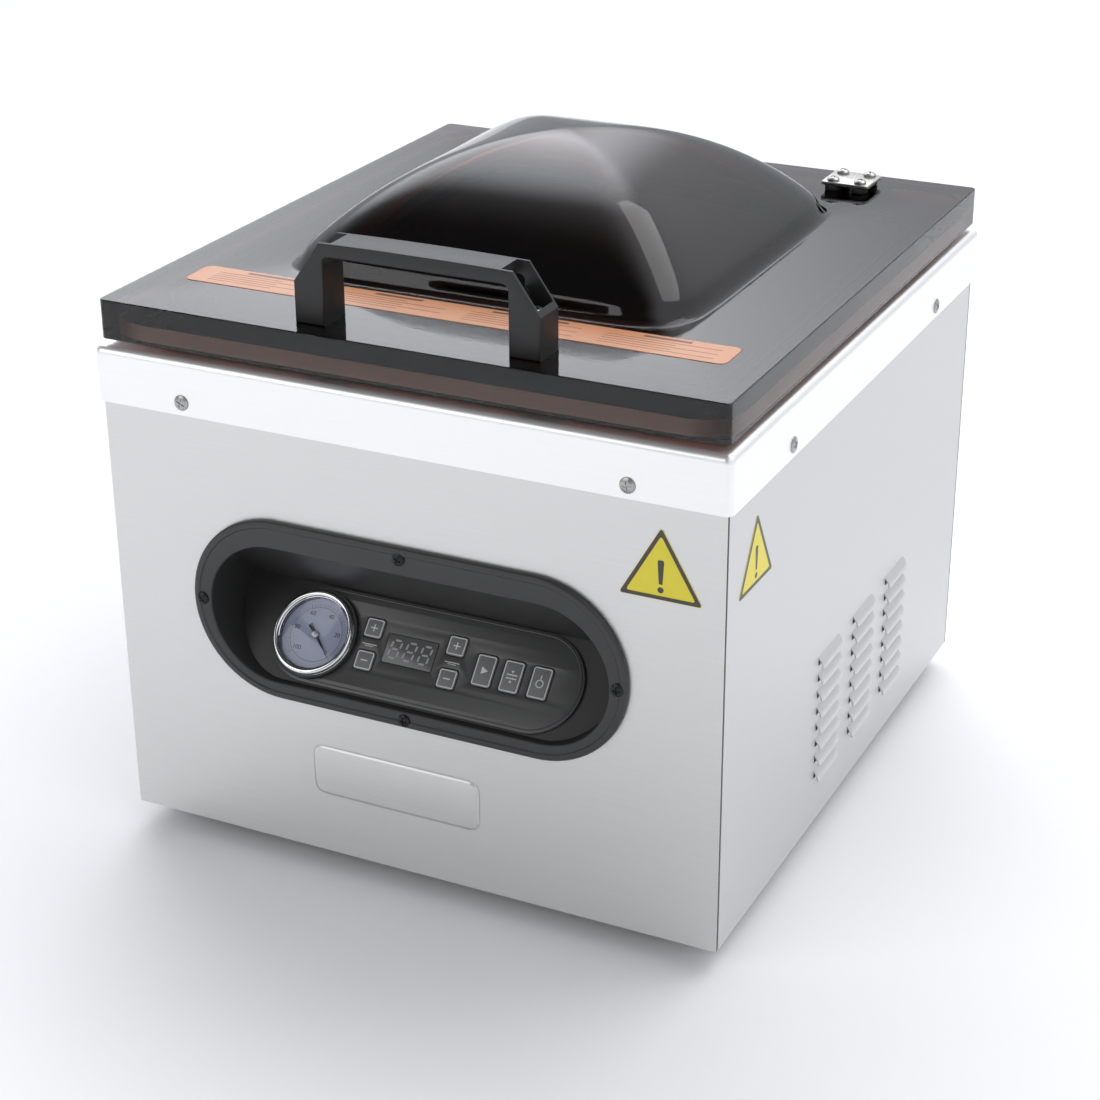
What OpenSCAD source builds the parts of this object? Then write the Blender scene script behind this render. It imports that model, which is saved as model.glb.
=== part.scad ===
/* [Casing] */
// Width of the sheet steel casing
casing_w = 330; // [320:1:340]
// Depth of the casing, front to back
casing_d = 360; // [350:1:370]
// Height from the floor to the flat top of the deck
deck_z = 269; // [265:1:275]
// Height of the rubber feet
foot_h = 12; // [8:1:16]
// Thickness of the casing sheet
sheet_t = 1.2; // [0.8:0.1:1.5]

/* [Deck] */
// How far the deck's skirt stands out over the casing
skirt_over = 2.6; // [2:0.1:4]
// Height of the skirt
skirt_h = 28.6; // [24:0.1:34]
// Thickness of the deck's top
deck_t = 1.5; // [1:0.1:2]
// Radius of the deck's outer edges and corners
deck_r = 4; // [3:0.5:6]

/* [Chamber] */
// Width of the vacuum chamber
chamber_w = 280; // [260:1:284]
// Length of the chamber, front to back
chamber_d = 276; // [260:1:280]
// Depth of the chamber below the deck
chamber_h = 78; // [70:1:80]
// Middle of the chamber, front to back
chamber_y = -17; // [-18:1:-15]

/* [Lid] */
// Width of the acrylic lid
lid_w = 329; // [320:1:334]
// Thickness of the acrylic
lid_t = 20; // [18:1:22]
// Gap between the deck and the closed lid
lid_gap = 3; // [2.5:0.1:3.5]
// Height of the blown dome above the lid
dome_h = 58; // [45:1:65]

/* [Handle] */
// Width of the lid handle
handle_w = 128; // [110:1:140]
// Depth of the handle
handle_d = 19.5; // [16:0.5:22]
// Height of the handle above the lid
handle_h = 40.5; // [36:0.5:46]
// Middle of the handle, left to right
handle_x = 4; // [0:0.5:6]

/* [Control panel] */
// Width of the black bezel
bezel_w = 237.4; // [230:0.2:244]
// Height of the bezel
bezel_h = 96.8; // [92:0.2:100]
// Lean of the control plate back from upright, in degrees
panel_tilt = 42.5; // [40:0.5:45]

/* [Louvres] */
// Louvres in one column
louvre_rows = 8; // [4:1:8]
// Columns of louvres on each side
louvre_cols = 3; // [1:1:3]
// Length of one louvre
louvre_l = 30; // [24:1:34]

/* [Hidden] */
$fn = 48;
eps = 0.01;

// Casing, deck and chamber
front_y = -casing_d / 2;
rear_y = casing_d / 2;
panel_top = deck_z - deck_t;
deck_w = casing_w + 2 * skirt_over;
deck_d = casing_d + 2 * skirt_over;
skirt_gap = 0.6;
side_screws_y = [-107, 107];
front_screws_x = [-117.8, 117.8];
screw_z = 247;
foot_at = [130, 145];
chamber_r = 24;
tub_t = 1.5;
tub_flange = 9;
tub_floor = deck_z - chamber_h;
louvre_pitch_z = 9.4;
louvre_pitch_y = 51.7;
louvre_y = 16.5;
louvre_z = 73.3;
louvre_slot = 2.6;
louvre_out = 2.2;

// Lid, whose hinge line lies just behind the acrylic
lid_z = deck_z + lid_gap;
lid_top = lid_z + lid_t;
lid_y = 0.5;
hinge_y = 185.5;
hinge_z = lid_z + 1;
hinge_x = 101.5;
pin_r = 1.8;
pin_fit = 0.05;
knuckle_r = 3.6;
leaf_w = 27;
leaf_t = 2.2;
tongue_w = 10;
clamp_y = 153;
clamp_d = 24;
clamp_t = 2;
washer_t = 3;
hinge_screw_at = [7.7, 8];
screw_r = 2;
dome_a = 110;
dome_b = 114;
dome_y = 4;
dome_square = 8.5;
dome_wall = 6;
dome_n = 28;
gasket_w = 5;
gasket_x = 151;
gasket_front = -168;
gasket_rear = 133;
gasket_deep = 4;
handle_y = -158.2;
handle_screw_dx = 56;
handle_leg = 16;
handle_chamfer = [14, 20];
handle_bar = 6.5;
pocket_wall = 2;
pocket_floor = 17;

// Seal bar
bar_y = -125;
bar_l = 262;
bar_w = 16;
bar_z = 222;
bar_top = 251.4;
rod_r = 5;
rod_dx = 95;
rod_fit = 0.05;
rod_low = 165;

// Control recess: a leaning floor and a sloping ceiling that meet at a crease
bezel_z = 144.5;
bezel_t = 3.2;
recess_w = 217.6;
recess_h = 73.4;
recess_z = 141.6;
recess_wall = 2.2;
floor_y = front_y + 2;
floor_z = 105;
crease = 52;
ceiling_z = 178.3;
plate_dx = 60.4;
plate_r = 25.6;
plate_s = 26;
plate_t = 1.6;
gauge_at = [-61.5, 25.4];
gauge_r = 21.5;
display_at = [-8.2, 26.8];
display_size = [27.4, 14.8];
key_gap = 0.3;
key_low = 0.9;
key_t = 1.1;
key_r = 1.5;
small_key = [10, 10];
tall_key = [10.6, 16.2];
vac_x = -31;
seal_x = 15.3;
start_x = 33.2;
seal_key_x = 48.1;
power_x = 63.3;
plus_s = 35;
minus_s = 18;
tall_s = 26;
board_h = -12;

// Machinery in the base
base_top = foot_h + sheet_t;
pump_at = [-30, 62, 88];
motor_l = 100;
motor_r = 44;
rotor_r = 28;
shaft_r = 6;
head_size = [62, 84, 96];
fan_at = [-151, 20, 76];
fan_size = 80;
fan_t = 24;
inlet_at = [-110, 62];

function unit(v) = v / norm(v);

// A smooth run of points through the corners p, n steps to each
function smooth(p, n) = [for (i = [0 : len(p) - 2], k = [0 : i == len(p) - 2 ? n : n - 1])
    let (a = p[max(i - 1, 0)], b = p[i], c = p[i + 1], d = p[min(i + 2, len(p) - 1)], t = k / n)
    b + 0.5 * t * ((c - a) + t * ((2 * a - 5 * b + 4 * c - d)
        + t * (3 * b - a - 3 * c + d)))];

// The dome's rise from its edge, 0, to its crown, 1, on a plan that is nearly a rectangle
function crown(u, v) = let (r = pow(pow(abs(u), dome_square) + pow(abs(v), dome_square), 1 / dome_square))
    r >= 1 ? 0 : pow(1 - pow(r, 2.05), 0.9);

module round_rect(w, d, r) {
    square([w - 2 * r, d], center = true);
    square([w, d - 2 * r], center = true);
    for (x = [-1, 1], y = [-1, 1]) translate([x * (w / 2 - r), y * (d / 2 - r)]) circle(r);
}

module stadium(w, h) {
    square([w - h, h], center = true);
    for (x = [-1, 1]) translate([x * (w - h) / 2, 0]) circle(h / 2);
}

// A slab whose upright and upper edges are all rounded to r
module soft_slab(w, d, h, r) {
    linear_extrude(h - r) round_rect(w, d, r);
    linear_extrude(h) square([w - 2 * r, d - 2 * r], center = true);
    for (s = [-1, 1]) {
        translate([s * (w / 2 - r), 0, h - r]) rotate([90, 0, 0])
            cylinder(h = d - 2 * r, r = r, center = true);
        translate([0, s * (d / 2 - r), h - r]) rotate([0, 90, 0])
            cylinder(h = w - 2 * r, r = r, center = true);
        for (t = [-1, 1]) translate([s * (w / 2 - r), t * (d / 2 - r), h - r]) sphere(r);
    }
}

// A tube or cord swept along points, as one closed skin
module swept(points, r, sides = 8) {
    n = len(points);
    rings = [for (i = [0 : n - 1])
        let (w = unit(points[min(i + 1, n - 1)] - points[max(i - 1, 0)]),
            side = unit(cross(abs(w[2]) > 0.9 ? [0, 1, 0] : [0, 0, 1], w)), up = cross(w, side))
        for (k = [0 : sides - 1])
            points[i] + r * (cos(360 * k / sides) * side + sin(360 * k / sides) * up)];
    polyhedron(rings, concat(
        [[for (k = [sides - 1 : -1 : 0]) k]],
        [[for (k = [0 : sides - 1]) (n - 1) * sides + k]],
        [for (i = [0 : n - 2], k = [0 : sides - 1])
            let (a = i * sides + k, b = i * sides + (k + 1) % sides)
            [a, b, b + sides, a + sides]]), convexity = 6);
}

// Upright drawing turned to stand along Y, drawing side up, from y back to y + depth
module along_y(y, depth) translate([0, y + depth, 0]) rotate([90, 0, 0]) linear_extrude(depth) children();

// Pan or countersunk screw pointing along -Z with its seat at z = 0
module pan_screw(r, head_r, head_h, l) {
    translate([0, 0, -l]) cylinder(h = l, r = r);
    difference() {
        cylinder(h = head_h, r = head_r);
        for (a = [0, 90]) rotate(a) translate([0, 0, head_h])
            cube([head_r * 1.1, head_r * 0.28, head_h], center = true);
    }
}
module flat_screw(r, head_r, l) {
    translate([0, 0, -l]) cylinder(h = l, r = r);
    difference() {
        translate([0, 0, r - head_r]) cylinder(h = head_r - r, r1 = r, r2 = head_r);
        for (a = [0, 90]) rotate(a) cube([head_r * 1.1, head_r * 0.28, head_r * 0.5], center = true);
    }
}
module flat_hole(r, head_r, l) {
    translate([0, 0, -l]) cylinder(h = l + 1, r = r);
    translate([0, 0, r - head_r]) cylinder(h = head_r - r + eps, r1 = r, r2 = head_r + eps);
}

// Places things on the deck skirt's screw positions, pointing outwards
module at_deck_screws() {
    for (x = front_screws_x) {
        translate([x, -deck_d / 2, screw_z]) rotate([90, 0, 0]) children();
        translate([x, deck_d / 2, screw_z]) rotate([-90, 0, 0]) children();
    }
    for (y = side_screws_y) {
        translate([-deck_w / 2, y, screw_z]) rotate([0, -90, 0]) children();
        translate([deck_w / 2, y, screw_z]) rotate([0, 90, 0]) children();
    }
}
module at_feet() for (x = [-1, 1], y = [-1, 1]) translate([x * foot_at[0], y * foot_at[1], 0]) children();
module at_hinges() for (x = [-hinge_x, hinge_x]) translate([x, 0, 0]) children();
module at_hinge_screws() at_hinges() for (x = [-1, 1], y = [-1, 1])
    translate([x * hinge_screw_at[0], clamp_y + y * hinge_screw_at[1], 0]) children();

// Frame of the leaning control plate: X right, Y up the plate, Z out of it
module on_plate(p = [0, 0], h = 0) translate([0, floor_y, floor_z]) rotate([90 - panel_tilt, 0, 0])
    translate([p[0], p[1], h]) children();

module base_plate() color("lightgray") difference() {
    union() {
        translate([0, 0, foot_h]) linear_extrude(sheet_t)
            square([casing_w - 2 * sheet_t, casing_d - 2 * sheet_t], center = true);
        for (s = [-1, 1]) {
            translate([s * (casing_w / 2 - 1.5 * sheet_t), 0, foot_h + 8])
                cube([sheet_t, casing_d - 40, 16], center = true);
            translate([0, s * (casing_d / 2 - 1.5 * sheet_t), foot_h + 8])
                cube([casing_w - 40, sheet_t, 16], center = true);
        }
    }
    at_feet() cylinder(h = 60, r = screw_r);
    for (x = [-60 : 12 : 60], y = [-90, -75]) translate([x, y, foot_h + 1])
        cube([6, 10, 6], center = true);
}

module front_panel() color("gainsboro") difference() {
    union() {
        translate([0, front_y + sheet_t / 2, (foot_h + panel_top) / 2])
            cube([casing_w, sheet_t, panel_top - foot_h], center = true);
        along_y(front_y - 0.7, 0.7 + eps) translate([-8, 59.5]) round_rect(92, 26, 5);
    }
    along_y(front_y - 1, 4) translate([0, recess_z]) stadium(recess_w + 5, recess_h + 5);
    at_deck_screws() translate([0, 0, -8]) cylinder(h = 16, r = 1.6);
}

module rear_panel() color("gainsboro") difference() {
    translate([0, rear_y - sheet_t / 2, (foot_h + panel_top) / 2])
        cube([casing_w, sheet_t, panel_top - foot_h], center = true);
    along_y(rear_y - 4, 8) translate(inlet_at) square([28, 21], center = true);
    for (x = [-40 : 10 : 40]) translate([x, rear_y, 110]) cube([4, 8, 50], center = true);
    at_deck_screws() translate([0, 0, -8]) cylinder(h = 16, r = 1.6);
}

// Louvre hood: a half round ridge, open below and at its two ends
module louvre() rotate([90, 0, 0]) translate([0, 0, -louvre_l / 2]) linear_extrude(louvre_l)
    difference() {
        intersection() {
            circle(louvre_out + 0.4);
            translate([0, -1.2]) square([louvre_out + 1, louvre_out + 2]);
        }
        intersection() {
            circle(louvre_out - 0.4);
            translate([-eps, -2]) square([louvre_out, louvre_out + 2]);
        }
    }
module at_louvres() for (c = [0 : louvre_cols - 1], r = [0 : louvre_rows - 1])
    translate([0, louvre_y + (c - (louvre_cols - 1) / 2) * louvre_pitch_y,
        louvre_z + (r - (louvre_rows - 1) / 2) * louvre_pitch_z]) children();

module right_side_panel() color("gainsboro") {
    difference() {
        translate([casing_w / 2 - sheet_t / 2, 0, (foot_h + panel_top) / 2])
            cube([sheet_t, casing_d - 2 * sheet_t, panel_top - foot_h], center = true);
        at_louvres() translate([casing_w / 2, 0, 0]) cube([4, louvre_l, louvre_slot], center = true);
        at_deck_screws() translate([0, 0, -8]) cylinder(h = 16, r = 1.6);
    }
    at_louvres() translate([casing_w / 2 - 0.4, 0, 0]) louvre();
}
module left_side_panel() mirror([1, 0, 0]) right_side_panel();

module rubber_feet() color("dimgray") at_feet() rotate_extrude()
    polygon([[screw_r, 4], [6, 4], [6, 0], [13, 0], [15, foot_h], [screw_r, foot_h]]);
module foot_screws() color("silver") at_feet() translate([0, 0, 4]) mirror([0, 0, 1])
    translate([0, 0, 0.5]) {
        cylinder(h = 2.4, r = 4);
        translate([0, 0, -12]) cylinder(h = 12, r = screw_r);
    }

module chamber_hole(grow = 0) translate([0, chamber_y])
    round_rect(chamber_w + 2 * grow, chamber_d + 2 * grow, chamber_r + grow);

module deck() color("whitesmoke") difference() {
    translate([0, 0, deck_z - skirt_h]) soft_slab(deck_w, deck_d, skirt_h, deck_r);
    translate([0, 0, deck_z - skirt_h - 1]) linear_extrude(skirt_h + 1 - deck_t)
        square([casing_w + 2 * skirt_gap, casing_d + 2 * skirt_gap], center = true);
    translate([0, 0, deck_z - 10]) linear_extrude(20) chamber_hole();
    at_deck_screws() flat_hole(screw_r, 4, 4);
}
module deck_screws() color("silver") at_deck_screws() union() {
    flat_screw(screw_r, 4, 2.0);
    translate([0, 0, -8]) cylinder(h = 6 + eps, r = 1.6);
}

module chamber_tub() color("silver") difference() {
    union() {
        translate([0, 0, tub_floor - tub_t]) linear_extrude(chamber_h - deck_t + tub_t)
            chamber_hole(tub_t);
        translate([0, 0, panel_top - tub_t]) linear_extrude(tub_t) chamber_hole(tub_flange);
    }
    translate([0, 0, tub_floor]) linear_extrude(chamber_h) chamber_hole();
    for (s = [-1, 1]) translate([s * rod_dx, bar_y, tub_floor - 5]) cylinder(h = 10, r = 8);
    translate([90, 108, tub_floor - 5]) cylinder(h = 10, r = 6);
}

module filler_plates() color("white") for (z = [0, 1]) translate([0, 6, tub_floor + z * 15.2])
    linear_extrude(15) difference() {
        round_rect(240, 180, 12);
        for (x = [-1, 1]) translate([x * 70, 0]) circle(9);
    }

module suction_fitting() color("goldenrod") translate([90, 108, 0]) difference() {
    union() {
        translate([0, 0, tub_floor - 12]) cylinder(h = 14, r = 6);
        translate([0, 0, tub_floor]) cylinder(h = 2.5, r = 9);
        translate([0, 0, tub_floor - tub_t - 4]) cylinder(h = 4, r = 9, $fn = 6);
        translate([0, 0, tub_floor - 24]) cylinder(h = 13, r = 3);
    }
    translate([0, 0, tub_floor - 25]) cylinder(h = 40, r = 2);
}

module lift_cylinders() color("silver") for (s = [-1, 1]) translate([s * rod_dx, bar_y, 0])
    difference() {
        union() {
            translate([0, 0, 150]) cylinder(h = tub_floor - tub_t - 150, r = 15);
            translate([0, 0, tub_floor - tub_t - eps]) cylinder(h = tub_t + 2 * eps, r = 8);
            translate([0, 0, tub_floor]) cylinder(h = 4, r = 11);
        }
        translate([0, 0, 158]) cylinder(h = 60, r = rod_r + rod_fit);
    }

module recess_wedge(y = 0) translate([-200, y, 0]) rotate([90, 0, 90]) linear_extrude(400)
    polygon([
        [floor_y - 10 * sin(panel_tilt), floor_z - 10 * cos(panel_tilt)],
        [floor_y + crease * sin(panel_tilt), floor_z + crease * cos(panel_tilt)],
        [front_y, ceiling_z],
        [front_y - 5, ceiling_z + 6],
        [front_y - 20, ceiling_z + 6],
        [front_y - 20, floor_z - 10]]);

module control_bezel() color([0.14, 0.14, 0.15]) difference() {
    union() {
        along_y(front_y - bezel_t, bezel_t) translate([0, bezel_z]) stadium(bezel_w, bezel_h);
        intersection() {
            along_y(front_y - eps, 50) translate([0, recess_z])
                stadium(recess_w + 2 * recess_wall, recess_h + 2 * recess_wall);
            recess_wedge(3.1);
        }
    }
    intersection() {
        along_y(front_y - 6, 60) translate([0, recess_z]) stadium(recess_w, recess_h);
        recess_wedge();
    }
    on_plate(gauge_at, -10) cylinder(h = 20, r = 20.2);
    on_plate(display_at, -6) linear_extrude(12) square([26, 13.4], center = true);
    at_bezel_screws() flat_hole(1.5, 3.2, 12);
}
module at_bezel_screws() {
    for (s = [-1, 1]) translate([s * 113.6, front_y - bezel_t, 143.4]) rotate([90, 0, 0]) children();
    for (z = [100.3, 187.2]) translate([-0.5, front_y - bezel_t, z]) rotate([90, 0, 0]) children();
}
module bezel_screws() color("black") at_bezel_screws() flat_screw(1.5, 3.2, bezel_t);

module key_outline(size, grow = 0) round_rect(size[0] + 2 * grow, size[1] + 2 * grow, key_r + grow);
module control_plate() color([0.2, 0.2, 0.21]) on_plate() linear_extrude(plate_t) difference() {
    translate([0, plate_s]) stadium(2 * (plate_dx + plate_r), 2 * plate_r);
    translate(gauge_at) circle(20.4);
    for (x = [vac_x, seal_x], s = [plus_s, minus_s]) translate([x, s]) key_outline(small_key, key_gap);
    for (x = [start_x, seal_key_x, power_x]) translate([x, tall_s]) key_outline(tall_key, key_gap);
    translate(display_at) square(display_size, center = true);
}
module key(p, size) color("dimgray") on_plate(p, key_low) linear_extrude(key_t) key_outline(size);
module key_vac_plus() key([vac_x, plus_s], small_key);
module key_vac_minus() key([vac_x, minus_s], small_key);
module key_seal_plus() key([seal_x, plus_s], small_key);
module key_seal_minus() key([seal_x, minus_s], small_key);
module key_start() key([start_x, tall_s], tall_key);
module key_seal() key([seal_key_x, tall_s], tall_key);
module key_power() key([power_x, tall_s], tall_key);

module display_window() color("gray") on_plate(display_at, 0) linear_extrude(plate_t + 0.1)
    square([display_size[0] - 0.2, display_size[1] - 0.2], center = true);
module control_board() color("darkgreen") {
    on_plate([22, 26], board_h) linear_extrude(1.6) square([118, 44], center = true);
    on_plate(display_at, board_h + 1.6) linear_extrude(-board_h - 1.9)
        square([25, 12.6], center = true);
    for (x = [vac_x, seal_x], s = [plus_s, minus_s]) on_plate([x, s], board_h + 1.6)
        linear_extrude(5) square([6, 6], center = true);
    for (x = [start_x, seal_key_x, power_x]) on_plate([x, tall_s], board_h + 1.6)
        linear_extrude(5) square([6, 6], center = true);
}

module gauge_case() color([0.1, 0.1, 0.1]) on_plate(gauge_at) difference() {
    union() {
        translate([0, 0, -22]) cylinder(h = 26.4, r = 20);
        translate([0, 0, plate_t]) cylinder(h = 2.8, r = 23.4);
        translate([0, 0, -30]) cylinder(h = 9, r = 5);
    }
    translate([0, 0, -19]) cylinder(h = 30, r = 18.6);
    translate([0, 0, -31]) cylinder(h = 20, r = 2);
}
module gauge_ring() color("silver") on_plate(gauge_at, 4.4) rotate_extrude()
    polygon([[17.6, 0], [gauge_r - 0.3, 0], [gauge_r, 0.4], [gauge_r, 1.2], [20.4, 2.4], [19, 2.4],
        [17.6, 1.2]]);
module gauge_dial() color("white") on_plate(gauge_at, 0.4) difference() {
    cylinder(h = 0.8, r = 18.4);
    translate([0, 0, -1]) cylinder(h = 3, r = 1.5);
}
module gauge_glass() color("azure") on_plate(gauge_at, 3.1) cylinder(h = 1.2, r = 18.4);
module gauge_needle() color("black") on_plate(gauge_at, 0) rotate(-45) {
    translate([0, 0, 1.6]) linear_extrude(0.5)
        polygon([[-7, -0.9], [-1, -0.6], [14.5, -0.2], [14.5, 0.2], [-1, 0.6], [-7, 0.9]]);
    translate([0, 0, -6]) cylinder(h = 8.6, r = 1.2);
    translate([0, 0, 1.5]) cylinder(h = 1.1, r = 2);
}

module pump_motor() color("dimgray") translate(pump_at) rotate([0, 90, 0]) difference() {
    union() {
        translate([0, 0, -motor_l]) cylinder(h = motor_l, r = motor_r);
        for (a = [0 : 20 : 340]) rotate(a) translate([motor_r, 0, -motor_l / 2])
            cube([5, 2, motor_l - 16], center = true);
    }
    translate([0, 0, -motor_l + 6]) cylinder(h = motor_l - 12, r = rotor_r + 2);
    translate([0, 0, -motor_l - 1]) cylinder(h = motor_l + 2, r = shaft_r + 0.05);
}
module pump_head() color("silver") translate(pump_at) difference() {
    union() {
        translate([head_size[0] / 2, 0, 0]) cube(head_size, center = true);
        for (i = [-3 : 3]) translate([head_size[0] / 2, 0, i * 12])
            cube([head_size[0], 96, 3], center = true);
    }
    translate([8, 3, 0]) rotate([0, 90, 0]) cylinder(h = head_size[0] - 16, r = 30);
    translate([-1, 0, 0]) rotate([0, 90, 0]) cylinder(h = head_size[0] - 2, r = shaft_r + 0.05);
    translate([40, 0, 30]) cylinder(h = 40, r = 4);
}
module pump_rotor() color("steelblue") translate(pump_at) rotate([0, 90, 0]) {
    translate([0, 0, -motor_l - 6]) cylinder(h = motor_l + 60, r = shaft_r);
    translate([0, 0, -motor_l + 10]) cylinder(h = motor_l - 20, r = rotor_r);
    difference() {
        translate([0, 0, 9]) cylinder(h = head_size[0] - 18, r = 26);
        for (a = [0 : 90 : 270]) rotate(a) translate([24, 0, head_size[0] / 2])
            cube([18, 2, head_size[0]], center = true);
    }
}
module pump_mounts() color("black") {
    translate([pump_at[0] - 18, pump_at[1], base_top + 14]) difference() {
        cube([150, 80, 3], center = true);
        cube([60, 30, 8], center = true);
    }
    for (x = [-1, 1], y = [-1, 1]) translate([pump_at[0] - 18 + x * 62, pump_at[1] + y * 30, base_top])
        cylinder(h = 12.5, r = 8);
    for (block = [[-70, motor_r + 2.6], [20, head_size[2] / 2]])
        translate([pump_at[0] + block[0], pump_at[1], base_top + 15.5])
            linear_extrude(pump_at[2] - block[1] - base_top - 15.5) square([20, 24], center = true);
}

module transformer() color("goldenrod") translate([95, -70, base_top]) {
    translate([0, 0, 35]) cube([80, 34, 70], center = true);
    difference() {
        translate([0, 0, 35]) cube([40, 62, 44], center = true);
        translate([0, 0, 35]) cube([81, 34.02, 71], center = true);
    }
}
module power_board() color("darkgreen") translate([-95, -60, base_top]) {
    for (x = [-1, 1], y = [-1, 1]) translate([x * 45, y * 40, 0]) cylinder(h = 8, r = 3);
    translate([0, 0, 8.8]) cube([110, 95, 1.6], center = true);
    for (x = [-35, -10, 15]) translate([x, 20, 17.1]) cube([18, 15, 15], center = true);
    translate([20, -25, 22.1]) cube([40, 3, 25], center = true);
    translate([-30, -25, 9.6]) cylinder(h = 30, r = 9);
}
module solenoid_valves() color("silver") translate([115, 40, base_top]) {
    translate([0, 0, 12]) cube([34, 96, 24], center = true);
    for (y = [-32, 0, 32]) translate([0, y, 24]) {
        cylinder(h = 10, r = 9);
        translate([0, 0, 25]) cube([28, 26, 30], center = true);
        translate([0, 0, 40]) cylinder(h = 5, r = 4);
    }
}

module air_hoses() color("lightgray") {
    swept(smooth([[10, 62, 136.2], [10, 62, 144], [10, 62, 152], [45, 72, 158], [95, 72, 130],
        [115, 72, 94], [115, 72, 82.6]], 4), 4);
    swept(smooth([[90, 108, 166.8], [90, 108, 158], [90, 108, 150], [110, 112, 120], [142, 90, 70],
        [150, 55, 36], [140, 40, 26], [132.4, 40, 26]], 4), 4);
    swept(smooth([[95, -125, 149.6], [95, -125, 143], [95, -125, 136], [120, -120, 120],
        [146, -60, 90], [150, -16, 40], [140, 8, 26], [132.4, 8, 26]], 4), 4);
    swept(smooth([[-95, -125, 149.6], [-95, -125, 143], [-95, -125, 136], [-70, -100, 128],
        [20, -95, 134], [70, -60, 136], [112, -10, 118], [115, 8, 94], [115, 8, 82.6]], 4), 4);
}
module wiring_loom() color("black") {
    swept(smooth([[-110, 150, 62], [-110, 140, 62], [-140, 120, 40], [-150, 60, 26],
        [-146, 0, 24], [-120, -10, 26], [-110, -25, 26]], 4), 3);
    swept(smooth([[-60, -100, 27], [-40, -105, 32], [-10, -120, 60], [0, -130, 90],
        [10, -140, 112]], 4), 3);
}

module fan_frame() color([0.15, 0.15, 0.15]) translate(fan_at) rotate([0, 90, 0]) difference() {
    translate([0, 0, -fan_t / 2]) linear_extrude(fan_t) round_rect(fan_size, fan_size, 5);
    difference() {
        translate([0, 0, -fan_t]) cylinder(h = 2 * fan_t, r = fan_size / 2 - 2);
        translate([0, 0, fan_t / 2 - 2]) {
            cylinder(h = 3, r = 15);
            for (a = [45 : 90 : 315]) rotate(a) translate([20, 0, 1]) cube([44, 4, 2], center = true);
        }
    }
    translate([0, 0, -fan_t]) cylinder(h = 2 * fan_t, r = 2.05);
    for (x = [-1, 1], y = [-1, 1]) translate([x * 35.5, y * 35.5, -fan_t]) cylinder(h = 2 * fan_t, r = 2);
}
module fan_impeller() color([0.2, 0.2, 0.2]) translate(fan_at) rotate([0, 90, 0]) {
    translate([0, 0, -fan_t / 2 + 2]) cylinder(h = fan_t - 5, r = 15);
    translate([0, 0, -fan_t / 2 + 2]) cylinder(h = fan_t - 2, r = 2);
    for (a = [0 : 360 / 7 : 359]) rotate(a) translate([25, 0, -1]) rotate([35, 0, 0])
        cube([22, 1.5, fan_t - 10], center = true);
}

module power_inlet() color("black") translate([inlet_at[0], rear_y, inlet_at[1]]) difference() {
    union() {
        translate([0, 1.1, 0]) cube([48, 2.2, 30], center = true);
        translate([0, -14, 0]) cube([28, 28, 21], center = true);
        for (x = [-1, 1]) translate([x * 20, 2.2, 0]) rotate([-90, 0, 0]) cylinder(h = 1.4, r = 2.6);
    }
    translate([0, -7, 0]) cube([24, 20, 16.4], center = true);
}
module triangle(side) polygon([for (a = [90, 210, 330]) side / sqrt(3) * [cos(a), sin(a)]]);
module caution_plates() color("gold") {
    translate([133.4, front_y, 204.6]) rotate([90, 0, 0]) linear_extrude(0.3) triangle(42);
    translate([casing_w / 2, -144, 203]) rotate([90, 0, 90]) linear_extrude(0.3) triangle(42);
}

module lower_leaf() difference() {
    union() {
        translate([-leaf_w / 2, deck_d / 2, 236]) cube([leaf_w, 1.8, hinge_z - 236]);
        translate([0, hinge_y, hinge_z]) rotate([0, 90, 0])
            cylinder(h = leaf_w, r = knuckle_r, center = true);
    }
    translate([0, hinge_y, hinge_z]) cube([tongue_w + 1, 14, 9], center = true);
    translate([0, hinge_y, hinge_z]) rotate([0, 90, 0]) cylinder(h = leaf_w + 2, r = pin_r, center = true);
    for (x = [-8, 8]) translate([x, hinge_y, 244]) rotate([90, 0, 0])
        cylinder(h = 20, r = 1.6, center = true);
}
module hinge_lower_leaves() color("silver") at_hinges() lower_leaf();
module hinge_pins() color("silver") at_hinges() translate([0, hinge_y, hinge_z]) rotate([0, 90, 0])
    cylinder(h = leaf_w + 1, r = pin_r, center = true);
module hinge_leaf_screws() color("silver") at_hinges() for (x = [-8, 8])
    translate([x, deck_d / 2 + 1.8, 244]) rotate([-90, 0, 0]) pan_screw(1.6, 3, 1.8, 1.8);

module hinge_upper_leaves() color("silver") at_hinges() difference() {
    union() {
        translate([-leaf_w / 2, clamp_y - clamp_d / 2 - 1, lid_z - leaf_t])
            cube([leaf_w, 180 - clamp_y + clamp_d / 2 + 1, leaf_t]);
        translate([-tongue_w / 2, 179, lid_z - leaf_t]) cube([tongue_w, hinge_y - 179, leaf_t]);
        translate([0, hinge_y, hinge_z]) rotate([0, 90, 0])
            cylinder(h = tongue_w, r = knuckle_r, center = true);
    }
    translate([0, hinge_y, hinge_z]) rotate([0, 90, 0])
        cylinder(h = leaf_w, r = pin_r + pin_fit, center = true);
    for (x = [-1, 1], y = [-1, 1]) translate([x * hinge_screw_at[0], clamp_y + y * hinge_screw_at[1], 0])
        cylinder(h = 400, r = screw_r);
}
module hinge_clamp_plates() color("silver") difference() {
    translate([0, clamp_y, lid_top + washer_t]) at_hinges() linear_extrude(clamp_t)
        round_rect(leaf_w, clamp_d, 1.5);
    at_hinge_screws() cylinder(h = 400, r = screw_r);
}
module hinge_washers() color("black") at_hinge_screws() translate([0, 0, lid_top]) difference() {
    cylinder(h = washer_t, r = 4.5);
    translate([0, 0, -1]) cylinder(h = washer_t + 2, r = screw_r);
}
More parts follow.
